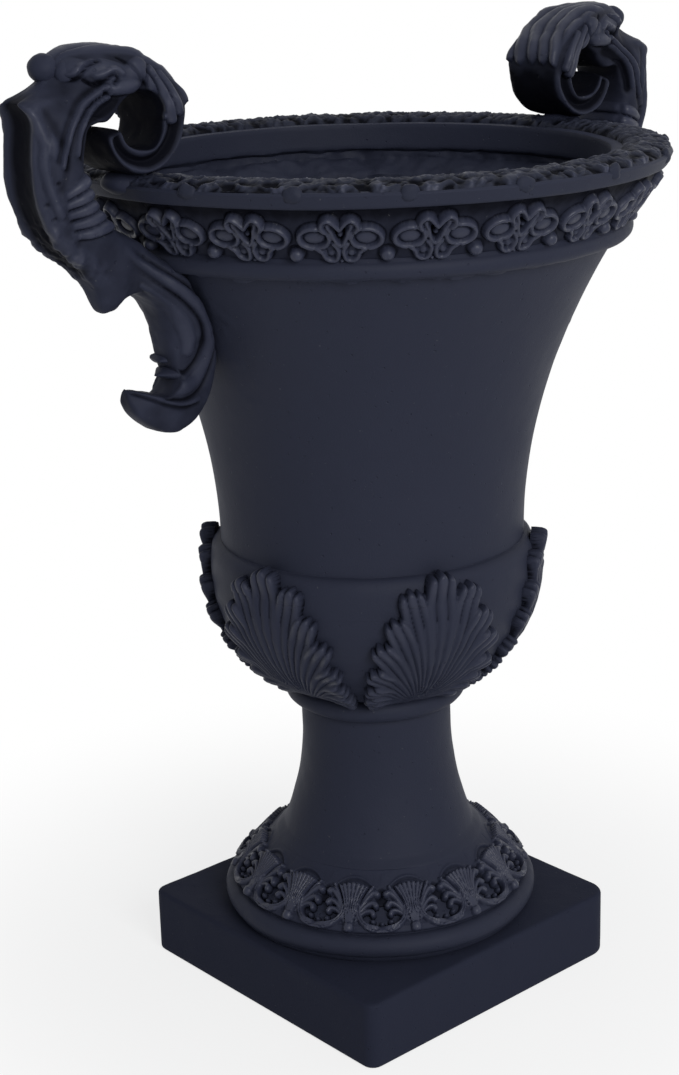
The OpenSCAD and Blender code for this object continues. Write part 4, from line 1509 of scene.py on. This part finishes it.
@dataclass
class ScrolledHandle:
    """Scroll-shaped handle: a curled tail, a fluted S-shaped band, a hollowed back and a volute with an eye.

    Its shape is swept through stations across the scroll, and its carving is laid on the sweep as heights.
    """

    eye: tuple[float, float] = (226.0, 735.0)
    squareness: float = 0.52
    volute_squareness: float = 0.3
    half: float = 30.0
    volute_half: float = 27.0
    faces: tuple[int, int] = (600, 156)

    def stations(self) -> Grid:
        """Stations from the tail's tip to the volute's end.

        Returns:
            Rows of inner x and z, outer x and z, and the half width at the inner and the outer edge.
        """
        rows = [
            (238, 543, 236, 542, 3, 3), (237, 530, 226, 539, 8, 9), (227, 517, 215, 536, 12, 14),
            (212, 507, 206, 534, 13, 16), (195, 504, 200, 539, 13, 17), (179, 511, 197, 545, 13, 18),
            (167, 524, 198, 550, 12, 17), (160, 540, 201, 556, 12, 16),
        ]
        low = (
            (556, 203, 566, 16, 15), (570, 205, 578, 22, 15), (584, 208, 589, 27, 14), (598, 213, 599, 29, 14),
            (610, 221, 607, 30, 14), (622, 230, 611, 28, 12),
        )
        rows += [(float(URN.bell_at(z)), z, ox, oz, wi, wo) for z, ox, oz, wi, wo in low]
        rows += [
            (217, 642, 238, 607, 20, 9), (223, 648, 247, 601, 18, 9), (231, 652, 256, 602, 19, 9),
            (240, 657, 263, 618, 20, 12), (252, 666, 277, 633, 23, 15), (263, 678, 293, 647, 26, 17),
            (270, 691, 305, 666, 29, 18), (273, 706, 312, 688, 30, 20), (271, 720, 313, 712, 30, 21),
            (267, 731, 311, 737, 30, 20), (259, 733.5, 316, 752, 30, 13), (251, 733.5, 292, 762, 30, 10),
            (244, 739, 284, 776, 30, 12), (239, 745, 266, 782, 30, 17),
        ]
        # the volute: outer radius, bore and half width round the eye
        radius = (
            (78.8, 46.6), (100, 38.0), (127, 36), (157, 38.6), (175, 37.6), (191, 37.7), (212, 38), (236, 38.5),
            (266, 39.3), (290, 38), (308, 36.5), (326, 34.5), (348, 31.5),
        )
        angles = np.linspace(78.8, 348.0, 17)
        reach = np.interp(angles, *zip(*radius))
        bored = ((78.8, 17.0), (120.0, 17.0), (180.0, 15.5), (221.0, 19.0), (245.0, 21.5), (310.0, 21.5), (348.0, 18.5))
        bore = np.interp(angles, *zip(*bored))
        width = np.interp(angles, (170.0, 188.0), (self.half, self.volute_half))
        ex, ez = self.eye
        for a, ri, ro, w in zip(np.radians(angles), bore, reach, width):
            c, s = math.cos(a), math.sin(a)
            rows.append((ex + ri * c, ez + ri * s, ex + ro * c, ez + ro * s, w, w))
        return np.array(rows, dtype=float)

    @staticmethod
    def spread_round(squareness: float, around: int) -> Grid:
        """Angles that fall evenly along the outline of a squared oval.

        Args:
            squareness: Exponent of the oval, lower for squarer corners.
            around: Number of steps round it.

        Returns:
            One row of angles in radians.
        """
        thick, half_wide = 38.0, 26.0  # a section of middling size
        turn = np.linspace(0.0, math.tau, 40001)
        c, s = np.cos(turn), np.sin(turn)
        flat_u = np.sign(c) * np.abs(c) ** squareness / 2.0
        flat_v = np.sign(s) * np.abs(s) ** squareness
        length = walked(flat_u * thick, flat_v * half_wide)
        return np.interp(np.linspace(0.0, length[-1], around + 1), length, turn)[None, :]

    def sweep(self, count: int, around: int) -> tuple[Grid, Grid, Grid]:
        """Plain sweep through the stations.

        Args:
            count: Number of faces along the scroll.
            around: Number of faces round its section.

        Returns:
            Places, how far across the section they lie from the inner edge (0) to the outer one (1), and their
            station number along the scroll.
        """
        rows = self.stations()
        t = np.linspace(0.0, len(rows) - 1.0, 40 * len(rows))
        fine = through_stations(rows, t)
        pace = np.maximum(np.hypot(*np.diff(fine[:, 0:2], axis=0).T), np.hypot(*np.diff(fine[:, 2:4], axis=0).T))
        walk = np.concatenate([[0.0], np.cumsum(pace)])
        even = np.interp(np.linspace(0.0, walk[-1], count + 1), walk, t)
        spine = through_stations(rows, even)
        crisp = smooth_step(32.0, 34.5, even)[:, None]
        spots = (1.0 - crisp) * self.spread_round(self.squareness, around)
        spots = spots + crisp * self.spread_round(self.volute_squareness, around)
        c, s = np.cos(spots), np.sin(spots)
        sharp = self.squareness + (self.volute_squareness - self.squareness) * crisp
        u = (1.0 + np.sign(c) * np.abs(c) ** sharp) / 2.0
        v = np.sign(s) * np.abs(s) ** sharp
        ix, iz, ox, oz, wi, wo = (spine[:, k][:, None] for k in range(6))
        x = ix + (ox - ix) * u
        z = iz + (oz - iz) * u
        y = (wi * (1.0 - u * u) + wo * u * u) * v
        # both ends are closed by rings that shrink to a point
        fit = np.ones(count + 1)
        ends = np.array([0.02, 0.35, 0.6, 0.78, 0.9, 0.97])
        fit[: len(ends)], fit[-len(ends) :] = ends, ends[::-1]
        points = np.stack([x, y, z], axis=-1)
        mid = np.stack([x.mean(axis=1), y.mean(axis=1), z.mean(axis=1)], axis=-1)[:, None, :]
        points = mid + (points - mid) * fit[:, None, None]
        on_bell = np.where(points[..., 2] < URN.rim_joint_z, URN.bell_at(points[..., 2]) - 0.6, 0.0)
        floor = np.sqrt(np.maximum(on_bell**2 - points[..., 1] ** 2, 0.0))
        points[..., 0] = np.maximum(points[..., 0], floor)
        return points, u * np.ones_like(x), even[:, None] * np.ones_like(x)

    def build(self) -> list[bpy.types.Object]:
        """Carves the handle and sets it on both sides of the urn.

        Returns:
            The right and the left handle.
        """
        count, around = self.faces
        points, across, along = self.sweep(count, around)
        du = np.gradient(points, axis=0)
        wrapped = np.concatenate([points[:, -2:-1], points, points[:, 1:2]], axis=1)
        dv = (wrapped[:, 2:] - wrapped[:, :-2]) / 2.0
        normal = np.cross(du, dv)
        normal /= np.maximum(np.linalg.norm(normal, axis=-1, keepdims=True), 1.0e-9)
        centre = points[:, :-1].mean(axis=1, keepdims=True)
        if float(((points - centre) * normal).sum()) < 0.0:
            normal = -normal
        ends = np.ones(count + 1)
        ends[:7], ends[-7:] = np.linspace(0.0, 1.0, 7), np.linspace(1.0, 0.0, 7)
        height = self.carving(points, normal, across, along) * ends[:, None]
        carved = points + normal * height[..., None]
        # the finish reads the carving's height with painted shade and light added
        parts = [draped(count, around, carved, height - 0.6 + self.painted_shade_and_light(normal, across, along)), *self.knobs()]
        pieces = []
        for name, node, side in (
            ("handle_right_scroll", "handle_right", 0.0), ("handle_left_scroll", "handle_left", math.pi),
        ):
            mesh = joined(parts)
            mesh.transform(Matrix.Rotation(side, 4, "Z"))
            piece = finished(name, mesh, 60.0)
            seat(piece, Finish.CARVED, node)
            pieces.append(piece)
        return pieces

    @staticmethod
    def painted_shade_and_light(normal: Grid, across: Grid, along: Grid) -> Grid:
        """Painted shade inside the scroll and under the volute, where the faces lie in shade, and painted light on the
        back's outer face.

        Args:
            normal: Outward normals of the sweep.
            across: Place across the section, 0 at the inner and 1 at the outer edge.
            along: Station number along the scroll.

        Returns:
            Values that are added to the carving's height where the finish reads it.
        """
        edge_on = smooth_step(0.35, 0.8, 1.0 - np.abs(normal[..., 1]))
        within = np.where(across < 0.5, edge_on, 0.0) * smooth_step(20.0, 24.0, along)
        under = np.where(across > 0.5, edge_on, 0.0) * smooth_step(33.0, 35.0, along)
        back = np.where(across > 0.5, edge_on, 0.0) * smooth_step(15.0, 18.0, along) * smooth_step(25.5, 24.0, along)
        # painted shade inside the scroll and under the volute, painted light on the back's outer face
        return -2.2 * within - 2.4 * under + 1.7 * back

    def carving(self, points: Grid, normal: Grid, across: Grid, along: Grid) -> Grid:
        """Height of the carving over the plain sweep.

        Args:
            points: Places on the sweep.
            normal: Its outward normals.
            across: Place across the section, 0 at the inner and 1 at the outer edge.
            along: Station number along the scroll.

        Returns:
            Heights in mm.
        """
        x, y, z = points[..., 0], points[..., 1], points[..., 2]
        ex, ez = self.eye
        turn = np.degrees(np.arctan2(z - ez, x - ex)) % 360.0
        sideways = np.abs(normal[..., 1])
        cheek = smooth_step(0.35, 0.8, sideways)
        outer = smooth_step(0.35, 0.8, np.where(across > 0.5, 1.0 - sideways, 0.0))
        inner = smooth_step(0.35, 0.8, np.where(across < 0.5, 1.0 - sideways, 0.0))
        height = self.scroll_carving(x, z, across, turn, along) * cheek
        height += self.back_carving(x, z, along) * cheek
        height += self.band_carving(x, z, along) * cheek
        # crown of the top leaf, with ribs that sway over it
        sway = y + 6.0 * np.sin(np.radians(turn * 2.6)) + 2.0 * cast_noise(x, y, z, 22.0, 1)
        ribs = 1.0 - np.abs((sway / 12.0) % 1.0 - 0.5) * 2.0
        end = 162.0 + 9.0 * np.sqrt(ribs) + 5.0 * cast_noise(x, y, z, 16.0, 1)
        crown = smooth_step(24.0, 26.5, along) * smooth_step(end + 1.6, end - 1.6, np.where(along > 28.0, turn, 100.0))
        height += outer * crown * (0.4 + 3.4 * np.sqrt(ribs) + 0.9 * cast_noise(x, y, z, 12.0, 2))
        # outer face of the back: hollow between raised edges
        back = smooth_step(16.5, 19.0, along) * smooth_step(25.0, 23.8, along)
        height += outer * back * (-4.6 * np.clip(1.0 - (np.abs(y) / 18.0) ** 2, 0.0, 1.0))
        height += back * 2.0 * soft_profile(np.abs(y) - 17.5, 3.0) * smooth_step(0.62, 0.8, across)
        # folds of the shell run round the inner side of the back
        folded = inner * smooth_step(15.5, 17.0, along) * smooth_step(23.0, 21.5, along)
        for k in range(5):
            line = self.fold(k) + [(256.0 - 5.0 * k, 702.0 - 9.0 * k)]
            height += folded * (cord(x, z, line, 4.2, 2.0) + groove(x, z, shifted(line, 0.0, -4.4), 1.0, 1.2))
        # rough scales along the lower back's outer edge
        scales_and_painted_highlight = smooth_step(13.5, 15.5, along) * smooth_step(21.5, 18.5, along)
        scales_and_painted_highlight = scales_and_painted_highlight * smooth_step(0.5, 0.8, across) * smooth_step(618.0, 632.0, z)
        height += scales_and_painted_highlight * 1.5 * cast_noise(x, y, z, 5.5, 2)
        return height + 0.55 * cast_noise(x, y, z, 13.0, 3)

    @staticmethod
    def fold(k: int) -> list[tuple[float, float]]:
        """Two middle points of the shell's fold number k, counted from the top."""
        return [(284 - 2.6 * k, 694 - 8.1 * k), (270 - 4.6 * k, 700 - 8.8 * k)]

    @staticmethod
    def scroll_carving(x: Grid, z: Grid, across: Grid, turn: Grid, along: Grid) -> Grid:
        """Height of the carving on the volute's cheek: the channel and the leaf laid over the top.

        Args:
            x: Distance from the urn's axis in mm.
            z: Height in mm.
            across: Place across the section, 0 at the inner and 1 at the outer edge.
            turn: Angle round the eye in degrees.
            along: Station number along the scroll.

        Returns:
            Heights in mm.
        """
        ring = (along > 28.0) * smooth_step(176, 196, turn) * smooth_step(342, 330, turn)
        height = ring * (
            -5.2 * soft_profile(across - 0.47, 0.17) + 1.4 * soft_profile(across - 0.85, 0.08)
            + 1.2 * soft_profile(across - 0.10, 0.08)
        )
        top = smooth_step(23.5, 25.0, along)
        # the leaf's lobe that hangs over the eye, and the body above it
        lobe = dome(x, z, (242.5, 757), (14.5, 6.0), -3.0, 4.6)
        for centre, half, tilt, tall in (
            ((252, 768), (17.0, 8.0), 14.0, 3.4), ((232, 768), (12.0, 8.0), -28.0, 3.6),
            ((273, 772), (13.0, 6.5), 10.0, 3.0),
        ):
            lobe = soft_max(lobe, dome(x, z, centre, half, tilt, tall), 0.8)
        height = height + top * (lobe - 1.0)
        # long fingers that run down the bowl side and end round
        for path, wide, tall in (
            ([(229, 768), (223, 760), (217.5, 751), (213, 742), (210, 735)], 3.6, 4.4),
            ([(222, 768), (214.5, 758), (208.5, 747.5), (205, 738.5), (203.5, 732.5)], 3.8, 5.0),
            ([(213, 764), (205.5, 754.5), (200.5, 745), (198, 737.5)], 3.4, 4.4),
        ):
            height = laid(height, petal(x, z, rounded_path(path), 2.4, wide, tall) * (turn > 70.0), 0.5)
        # folded lines of the leaf
        for path, width, depth in (
            ([(290, 772), (284, 766.5), (278, 764), (272, 766.5), (266, 772), (258, 774.5)], 1.2, 3.2),
            ([(270, 763.5), (265, 760.5), (257, 762), (250, 765.5), (246.5, 763), (250, 759.5)], 1.1, 3.2),
            ([(258, 755), (250, 750.5), (243, 751), (229, 751.5)], 1.1, 2.0),
            ([(222, 773), (224.5, 765), (225.5, 757), (225, 751)], 1.1, 2.6),
            ([(244, 777), (236, 770), (230, 762)], 1.0, 1.6),
        ):
            height = height + top * groove(x, z, rounded_path(path), width, depth)
        for path, radius, tall in (
            ([(286, 770.5), (281, 766.8), (276, 767), (270, 771.5), (262, 775)], 1.8, 1.8),
            ([(262, 765), (255, 766.5), (248, 769.5), (243, 766)], 1.8, 1.6),
        ):
            height = height + top * cord(x, z, rounded_path(path), radius, tall)
        return height

    @staticmethod
    def back_carving(x: Grid, z: Grid, along: Grid) -> Grid:
        """Height of the carving on the back's cheek: the arch's two ridges, the shell's folds and a rosette.

        Args:
            x: Distance from the urn's axis in mm.
            z: Height in mm.
            along: Station number along the scroll.

        Returns:
            Heights in mm.
        """
        here = smooth_step(15.5, 17.0, along) * smooth_step(28.0, 27.0, along)
        # the arch's two ridges
        arch_a = rounded_path([
            (256, 758), (264, 753.5), (272, 748.5), (278.5, 743), (284.5, 735.5), (288.5, 727),
            (291.5, 718), (294, 709),
        ])
        arch_b = rounded_path([
            (254, 752), (263, 748), (271, 742), (277, 734.5), (280.5, 726), (282.5, 716),
        ])
        height = cord(x, z, arch_a, 2.3, 2.6) + cord(x, z, arch_b, 2.1, 2.4)
        for line, width, depth in (
            (shifted(arch_a, -2.0, -2.6), 1.3, 1.1), (shifted(arch_a, 3.2, 3.2), 1.6, 1.2),
            (shifted(arch_b[:-3], -4.4, -5.2), 3.6, 4.0),
        ):
            height = height + groove(x, z, line, width, depth)
        # the raised outer edge, and the long curl inside it
        edge = rounded_path([
            (318, 750), (309.5, 743), (306, 734), (304.5, 723), (306, 710), (303, 693),
            (296, 676),
        ])
        height = height + cord(x, z, edge, 2.8, 2.2)
        curl = rounded_path([
            (302, 746), (300, 739), (295.5, 729), (291.5, 718), (292, 706), (296, 694),
        ])
        height = height + groove(x, z, curl, 2.8, 1.3)
        height = height + dome(x, z, (300, 722), (3.2, 9.0), 0.0, 1.8)
        # the shell's folds
        for k in range(5):
            line = [(291.5 - 0.6 * k * k, 690 - 7.2 * k)] + ScrolledHandle.fold(k)
            height = laid(height, petal(x, z, rounded_path(line), 3.0, 4.6, 4.4), 0.4)
            height = height + groove(x, z, shifted(line, -0.5, -4.4), 0.9, 1.6)
        # three dots, the rosette and the scales under it
        for spot in ((305, 684), (300, 674), (298, 698)):
            height = height - dome(x, z, spot, (1.5, 1.5), 0.0, 1.8)
        away = np.hypot(x - 303, z - 663)
        petals = 0.7 + 0.6 * cast_noise(x, z, 0.0, 4.0, 1)
        height = height + 2.0 * soft_profile(away - 5.5, 2.0) * petals - 1.6 * soft_profile(away, 2.0)
        scales = np.exp(-(((x - 292) / 13.0) ** 2 + ((z - 646) / 12.0) ** 2))
        return here * (height + scales * (0.6 + 1.5 * cast_noise(x, z, 0.0, 5.0, 2)))

    @staticmethod
    def band_carving(x: Grid, z: Grid, along: Grid) -> Grid:
        """Height of the carving on the lower band's cheek: ridges that hook round above the tail.

        Args:
            x: Distance from the urn's axis in mm.
            z: Height in mm.
            along: Station number along the scroll.

        Returns:
            Heights in mm.
        """
        low = smooth_step(17.0, 14.5, along)
        main = rounded_path([
            (246, 646), (228, 629), (211, 614), (192.5, 597), (182.5, 583), (179.5, 568),
            (183, 556), (192, 549.5), (203, 551),
        ])
        side = rounded_path([
            (250, 658), (227, 638), (204, 621), (185, 605), (173, 587), (166, 569),
            (167, 553), (172, 541), (182, 532), (196, 529), (209, 533),
        ])
        crest = rounded_path([
            (247, 651), (228, 633.5), (208, 617.5), (189, 601), (178, 585), (172.5, 569),
            (174.5, 555), (181.5, 543.5), (194, 538.5), (208, 541),
        ])
        drop = rounded_path([(228, 618), (212, 604), (199, 590), (192, 576), (190.5, 566)])
        height = groove(x, z, main, 1.7, 2.2) + groove(x, z, side, 1.6, 1.9) + cord(x, z, crest, 5.2, 2.0)
        height = height + petal(x, z, drop, 2.0, 5.6, 2.4)
        smear = rounded_path([(198, 625), (182, 607), (169, 582), (162, 566)])
        height = height + cord(x, z, smear, 4.0, 1.6)
        # tail: a smooth leaf with a thin line along its upper edge
        leaf = smooth_step(6.5, 5.0, along)
        vein = rounded_path([(234, 540), (222, 534), (208, 527), (194, 523), (180, 524)])
        height = height + leaf * (groove(x, z, vein, 1.5, 1.6) + cord(x, z, shifted(vein, -0.5, 3.0), 2.2, 1.2))
        return low * height

    def knobs(self) -> list[bpy.types.Mesh]:
        """Small rounded pieces on the sweep: buds and lobes, a mortar bed under the volute, and teeth.

        Returns:
            Their meshes in metres.
        """
        meshes = []
        for centre, half in (
            ((287.0, 0.0, 771.5), (10.5, 11.5, 10.0)), ((277.0, -10.5, 768.5), (8.5, 6.5, 8.0)),
            ((277.0, 10.5, 768.5), (8.5, 6.5, 8.0)), ((246.0, 0.0, 610.0), (10.0, 9.0, 9.5)),
            ((237.0, -4.0, 615.0), (8.5, 9.0, 8.0)), ((222.0, 0.0, 689.0), (21.0, 19.0, 9.5)),
        ):
            mesh = welded(ball(centre, half, segments=36, rings=24))
            meshes.append(moved_out(mesh, lambda x, y, z: 0.5 * cast_noise(x, y, z, 6.0, 2)))
        for (tx, tz), aim, size in (((202.0, 558.0), 205.0, 10.0), ((203.0, 547.5), 185.0, 12.0)):
            bm = bmesh.new()
            bmesh.ops.create_cone(bm, segments=24, radius1=6.0 * MM, radius2=0.6 * MM, depth=size * MM, cap_ends=True)
            bmesh.ops.subdivide_edges(bm, edges=bm.edges, cuts=2, use_grid_fill=True)
            bmesh.ops.scale(bm, vec=Vector((0.8, 2.2, 1.0)), verts=bm.verts)
            turn = Matrix.Rotation(math.radians(90.0), 4, "Y") @ Matrix.Rotation(math.radians(180.0 - aim), 4, "X")
            bmesh.ops.transform(bm, matrix=Matrix.Translation(Vector((tx, 0.0, tz)) * MM) @ turn, verts=bm.verts)
            meshes.append(moved_out(welded(bm), lambda x, y, z: 0.4 * cast_noise(x, y, z, 5.0, 2)))
        return meshes


@dataclass
class Fittings:
    """Nodes of the construction model that stay, with their finishes."""

    stone: tuple[str, ...] = ("bowl_cup",)
    steel: tuple[str, ...] = ("handle_dowels", "tie_rod", "tie_nuts", "tie_washers")
    rubber: tuple[str, ...] = ("tie_seal",)

    def build(self) -> None:
        """Dresses the nodes."""
        for names, finish in ((self.stone, Finish.SMOOTH), (self.steel, Finish.STEEL), (self.rubber, Finish.RUBBER)):
            for name in names:
                dress(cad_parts[name], finish)
                LOG.info("%s: kept, finish %s", name, finish.value.name)


# Studio


@dataclass
class Studio:
    """Camera at the photograph's viewpoint, a pale floor and soft lamps."""

    eye: tuple[float, float, float] = (-1056.8, -1164.8, 875.5)
    yaw: float = -41.309
    pitch: float = 17.55
    roll: float = -1.626
    focal_px: float = 2019.7
    tall_px: float = 1075.0
    centre_px: tuple[float, float] = (2.1, -2.1)
    sensor: float = 36.0
    floor_radius: float = 6.0
    shadow_reach: tuple[float, float] = (0.2, 0.62)
    floor_glow: float = 0.78
    ambient: float = 0.23

    def camera(self) -> None:
        """Sets the camera, with its axes worked out from the viewpoint's angles."""
        yaw, pitch, roll = (math.radians(v) for v in (self.yaw, self.pitch, self.roll))
        ahead = Vector((-math.sin(yaw) * math.cos(pitch), math.cos(yaw) * math.cos(pitch), -math.sin(pitch)))
        right = Vector((math.cos(yaw), math.sin(yaw), 0.0))
        up = right.cross(ahead)
        right, up = right * math.cos(roll) + up * math.sin(roll), up * math.cos(roll) - right * math.sin(roll)
        data = bpy.data.cameras.new("camera")
        data.sensor_width = self.sensor
        data.lens = self.focal_px / self.tall_px * self.sensor
        data.shift_x = -self.centre_px[0] / self.tall_px
        data.shift_y = self.centre_px[1] / self.tall_px
        data.clip_start, data.clip_end = 0.05, 50.0
        camera = bpy.data.objects.new("camera", data)
        axes = Matrix((right, up, -ahead)).transposed().to_4x4()
        camera.matrix_world = Matrix.Translation(Vector(self.eye) * MM) @ axes
        bpy.context.scene.collection.objects.link(camera)
        bpy.context.scene.camera = camera

    def floor(self) -> None:
        """Lays a wide pale floor under the plinth."""
        bm = bmesh.new()
        bmesh.ops.create_circle(bm, cap_ends=True, segments=96, radius=self.floor_radius)
        mesh = bpy.data.meshes.new("floor")
        bm.to_mesh(mesh)
        bm.free()
        floor = bpy.data.objects.new("studio_floor", mesh)
        bpy.context.scene.collection.objects.link(floor)
        mesh.materials.append(self.floor_paint())

    def floor_paint(self) -> bpy.types.Material:
        """Matt white that takes the shadow near the object and is pure white to the camera farther out.

        Returns:
            The floor's material.
        """
        paint = bpy.data.materials.new("matt_white_floor")
        paint.use_nodes = True
        tree = paint.node_tree
        shader = tree.nodes["Principled BSDF"]
        shader.inputs["Base Color"].default_value = linear("F4F4F4")
        shader.inputs["Roughness"].default_value = 0.9
        shader.inputs["Specular IOR Level"].default_value = 0.1
        place = add_node(tree, "ShaderNodeTexCoord").outputs["Object"]
        away = add_node(tree, "ShaderNodeVectorMath", {"operation": "LENGTH"}, {0: place})
        fade = mapped(tree, away.outputs["Value"], self.shadow_reach, (self.floor_glow, 1.0))
        fade.node.interpolation_type = "SMOOTHSTEP"
        rays = self.background_rays(tree)
        factor = add_node(tree, "ShaderNodeMath", {"operation": "MULTIPLY"}, {0: fade, 1: rays})
        white = add_node(tree, "ShaderNodeEmission", inputs={"Color": (1.0, 1.0, 1.0, 1.0), "Strength": 1.0})
        mixed = add_node(
            tree, "ShaderNodeMixShader", inputs={0: factor.outputs[0], 1: shader.outputs[0], 2: white.outputs[0]}
        )
        tree.links.new(mixed.outputs[0], tree.nodes["Material Output"].inputs["Surface"])
        return paint

    @staticmethod
    def background_rays(tree: Tree) -> Socket:
        """Adds nodes that tell rays of the camera, of reflections and of glass from the rest.

        Args:
            tree: Tree that takes the nodes.

        Returns:
            A socket that is 1 for those rays and 0 for the others.
        """
        path = add_node(tree, "ShaderNodeLightPath")
        straight = add_node(
            tree, "ShaderNodeMath", {"operation": "MAXIMUM"},
            {0: path.outputs["Is Camera Ray"], 1: path.outputs["Is Transmission Ray"]},
        )
        either = add_node(
            tree, "ShaderNodeMath", {"operation": "MAXIMUM"}, {0: straight.outputs[0], 1: path.outputs["Is Glossy Ray"]}
        )
        return either.outputs[0]

    def lamps(self) -> None:
        """Hangs the soft lamps."""
        for name, place, aim, size, power in (
            ("overhead_softbox", (0.2, -0.3, 2.7), (0.0, 0.0, 0.5), 1.8, 8.5),
            ("front_softbox", (-0.8, -2.45, 1.5), (0.0, 0.0, 0.5), 1.2, 47.0),
            ("right_softbox", (2.1, -1.5, 1.2), (0.0, 0.0, 0.5), 1.2, 5.0),
            ("left_softbox", (-2.6, -0.2, 1.5), (-0.1, 0.0, 0.5), 1.3, 1.0),
        ):
            data = bpy.data.lights.new(name, "AREA")
            data.size, data.energy = size, power
            lamp = bpy.data.objects.new(name, data)
            lamp.location = place
            lamp.rotation_euler = (Vector(aim) - Vector(place)).to_track_quat("-Z", "Y").to_euler()
            bpy.context.scene.collection.objects.link(lamp)

    def backdrop(self) -> None:
        """Makes the world white to the camera and a soft grey to the object."""
        world = bpy.data.worlds.new("studio_world")
        bpy.context.scene.world = world
        world.use_nodes = True
        tree = world.node_tree
        tree.nodes.clear()
        white, soft = (
            add_node(tree, "ShaderNodeBackground", inputs={"Color": colour, "Strength": strength})
            for colour, strength in (((1.0, 1.0, 1.0, 1.0), 1.0), ((0.93, 0.96, 1.0, 1.0), self.ambient))
        )
        mixed = add_node(
            tree, "ShaderNodeMixShader", inputs={0: self.background_rays(tree), 1: soft.outputs[0], 2: white.outputs[0]}
        )
        add_node(tree, "ShaderNodeOutputWorld", inputs={"Surface": mixed.outputs[0]})

    def build(self) -> None:
        """Sets up the whole studio."""
        self.camera()
        self.floor()
        self.lamps()
        self.backdrop()
        bpy.context.scene.view_settings.view_transform = "Standard"


def keep_sizes() -> None:
    """Updates the view layer, so that every piece's place is current."""
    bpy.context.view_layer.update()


def main() -> None:
    """Builds the studio and every piece in order, and reports each through the log."""
    logging.basicConfig(level=logging.INFO, format="%(name)s: %(message)s")
    Studio().build()
    Plinth().build()
    Pedestal().build()
    Bell().build()
    BowlShoulder().build()
    Rim().build()
    AcanthusLeaves().build()
    ScrolledHandle().build()
    Fittings().build()
    keep_sizes()


if __name__ == "__main__":
    main()
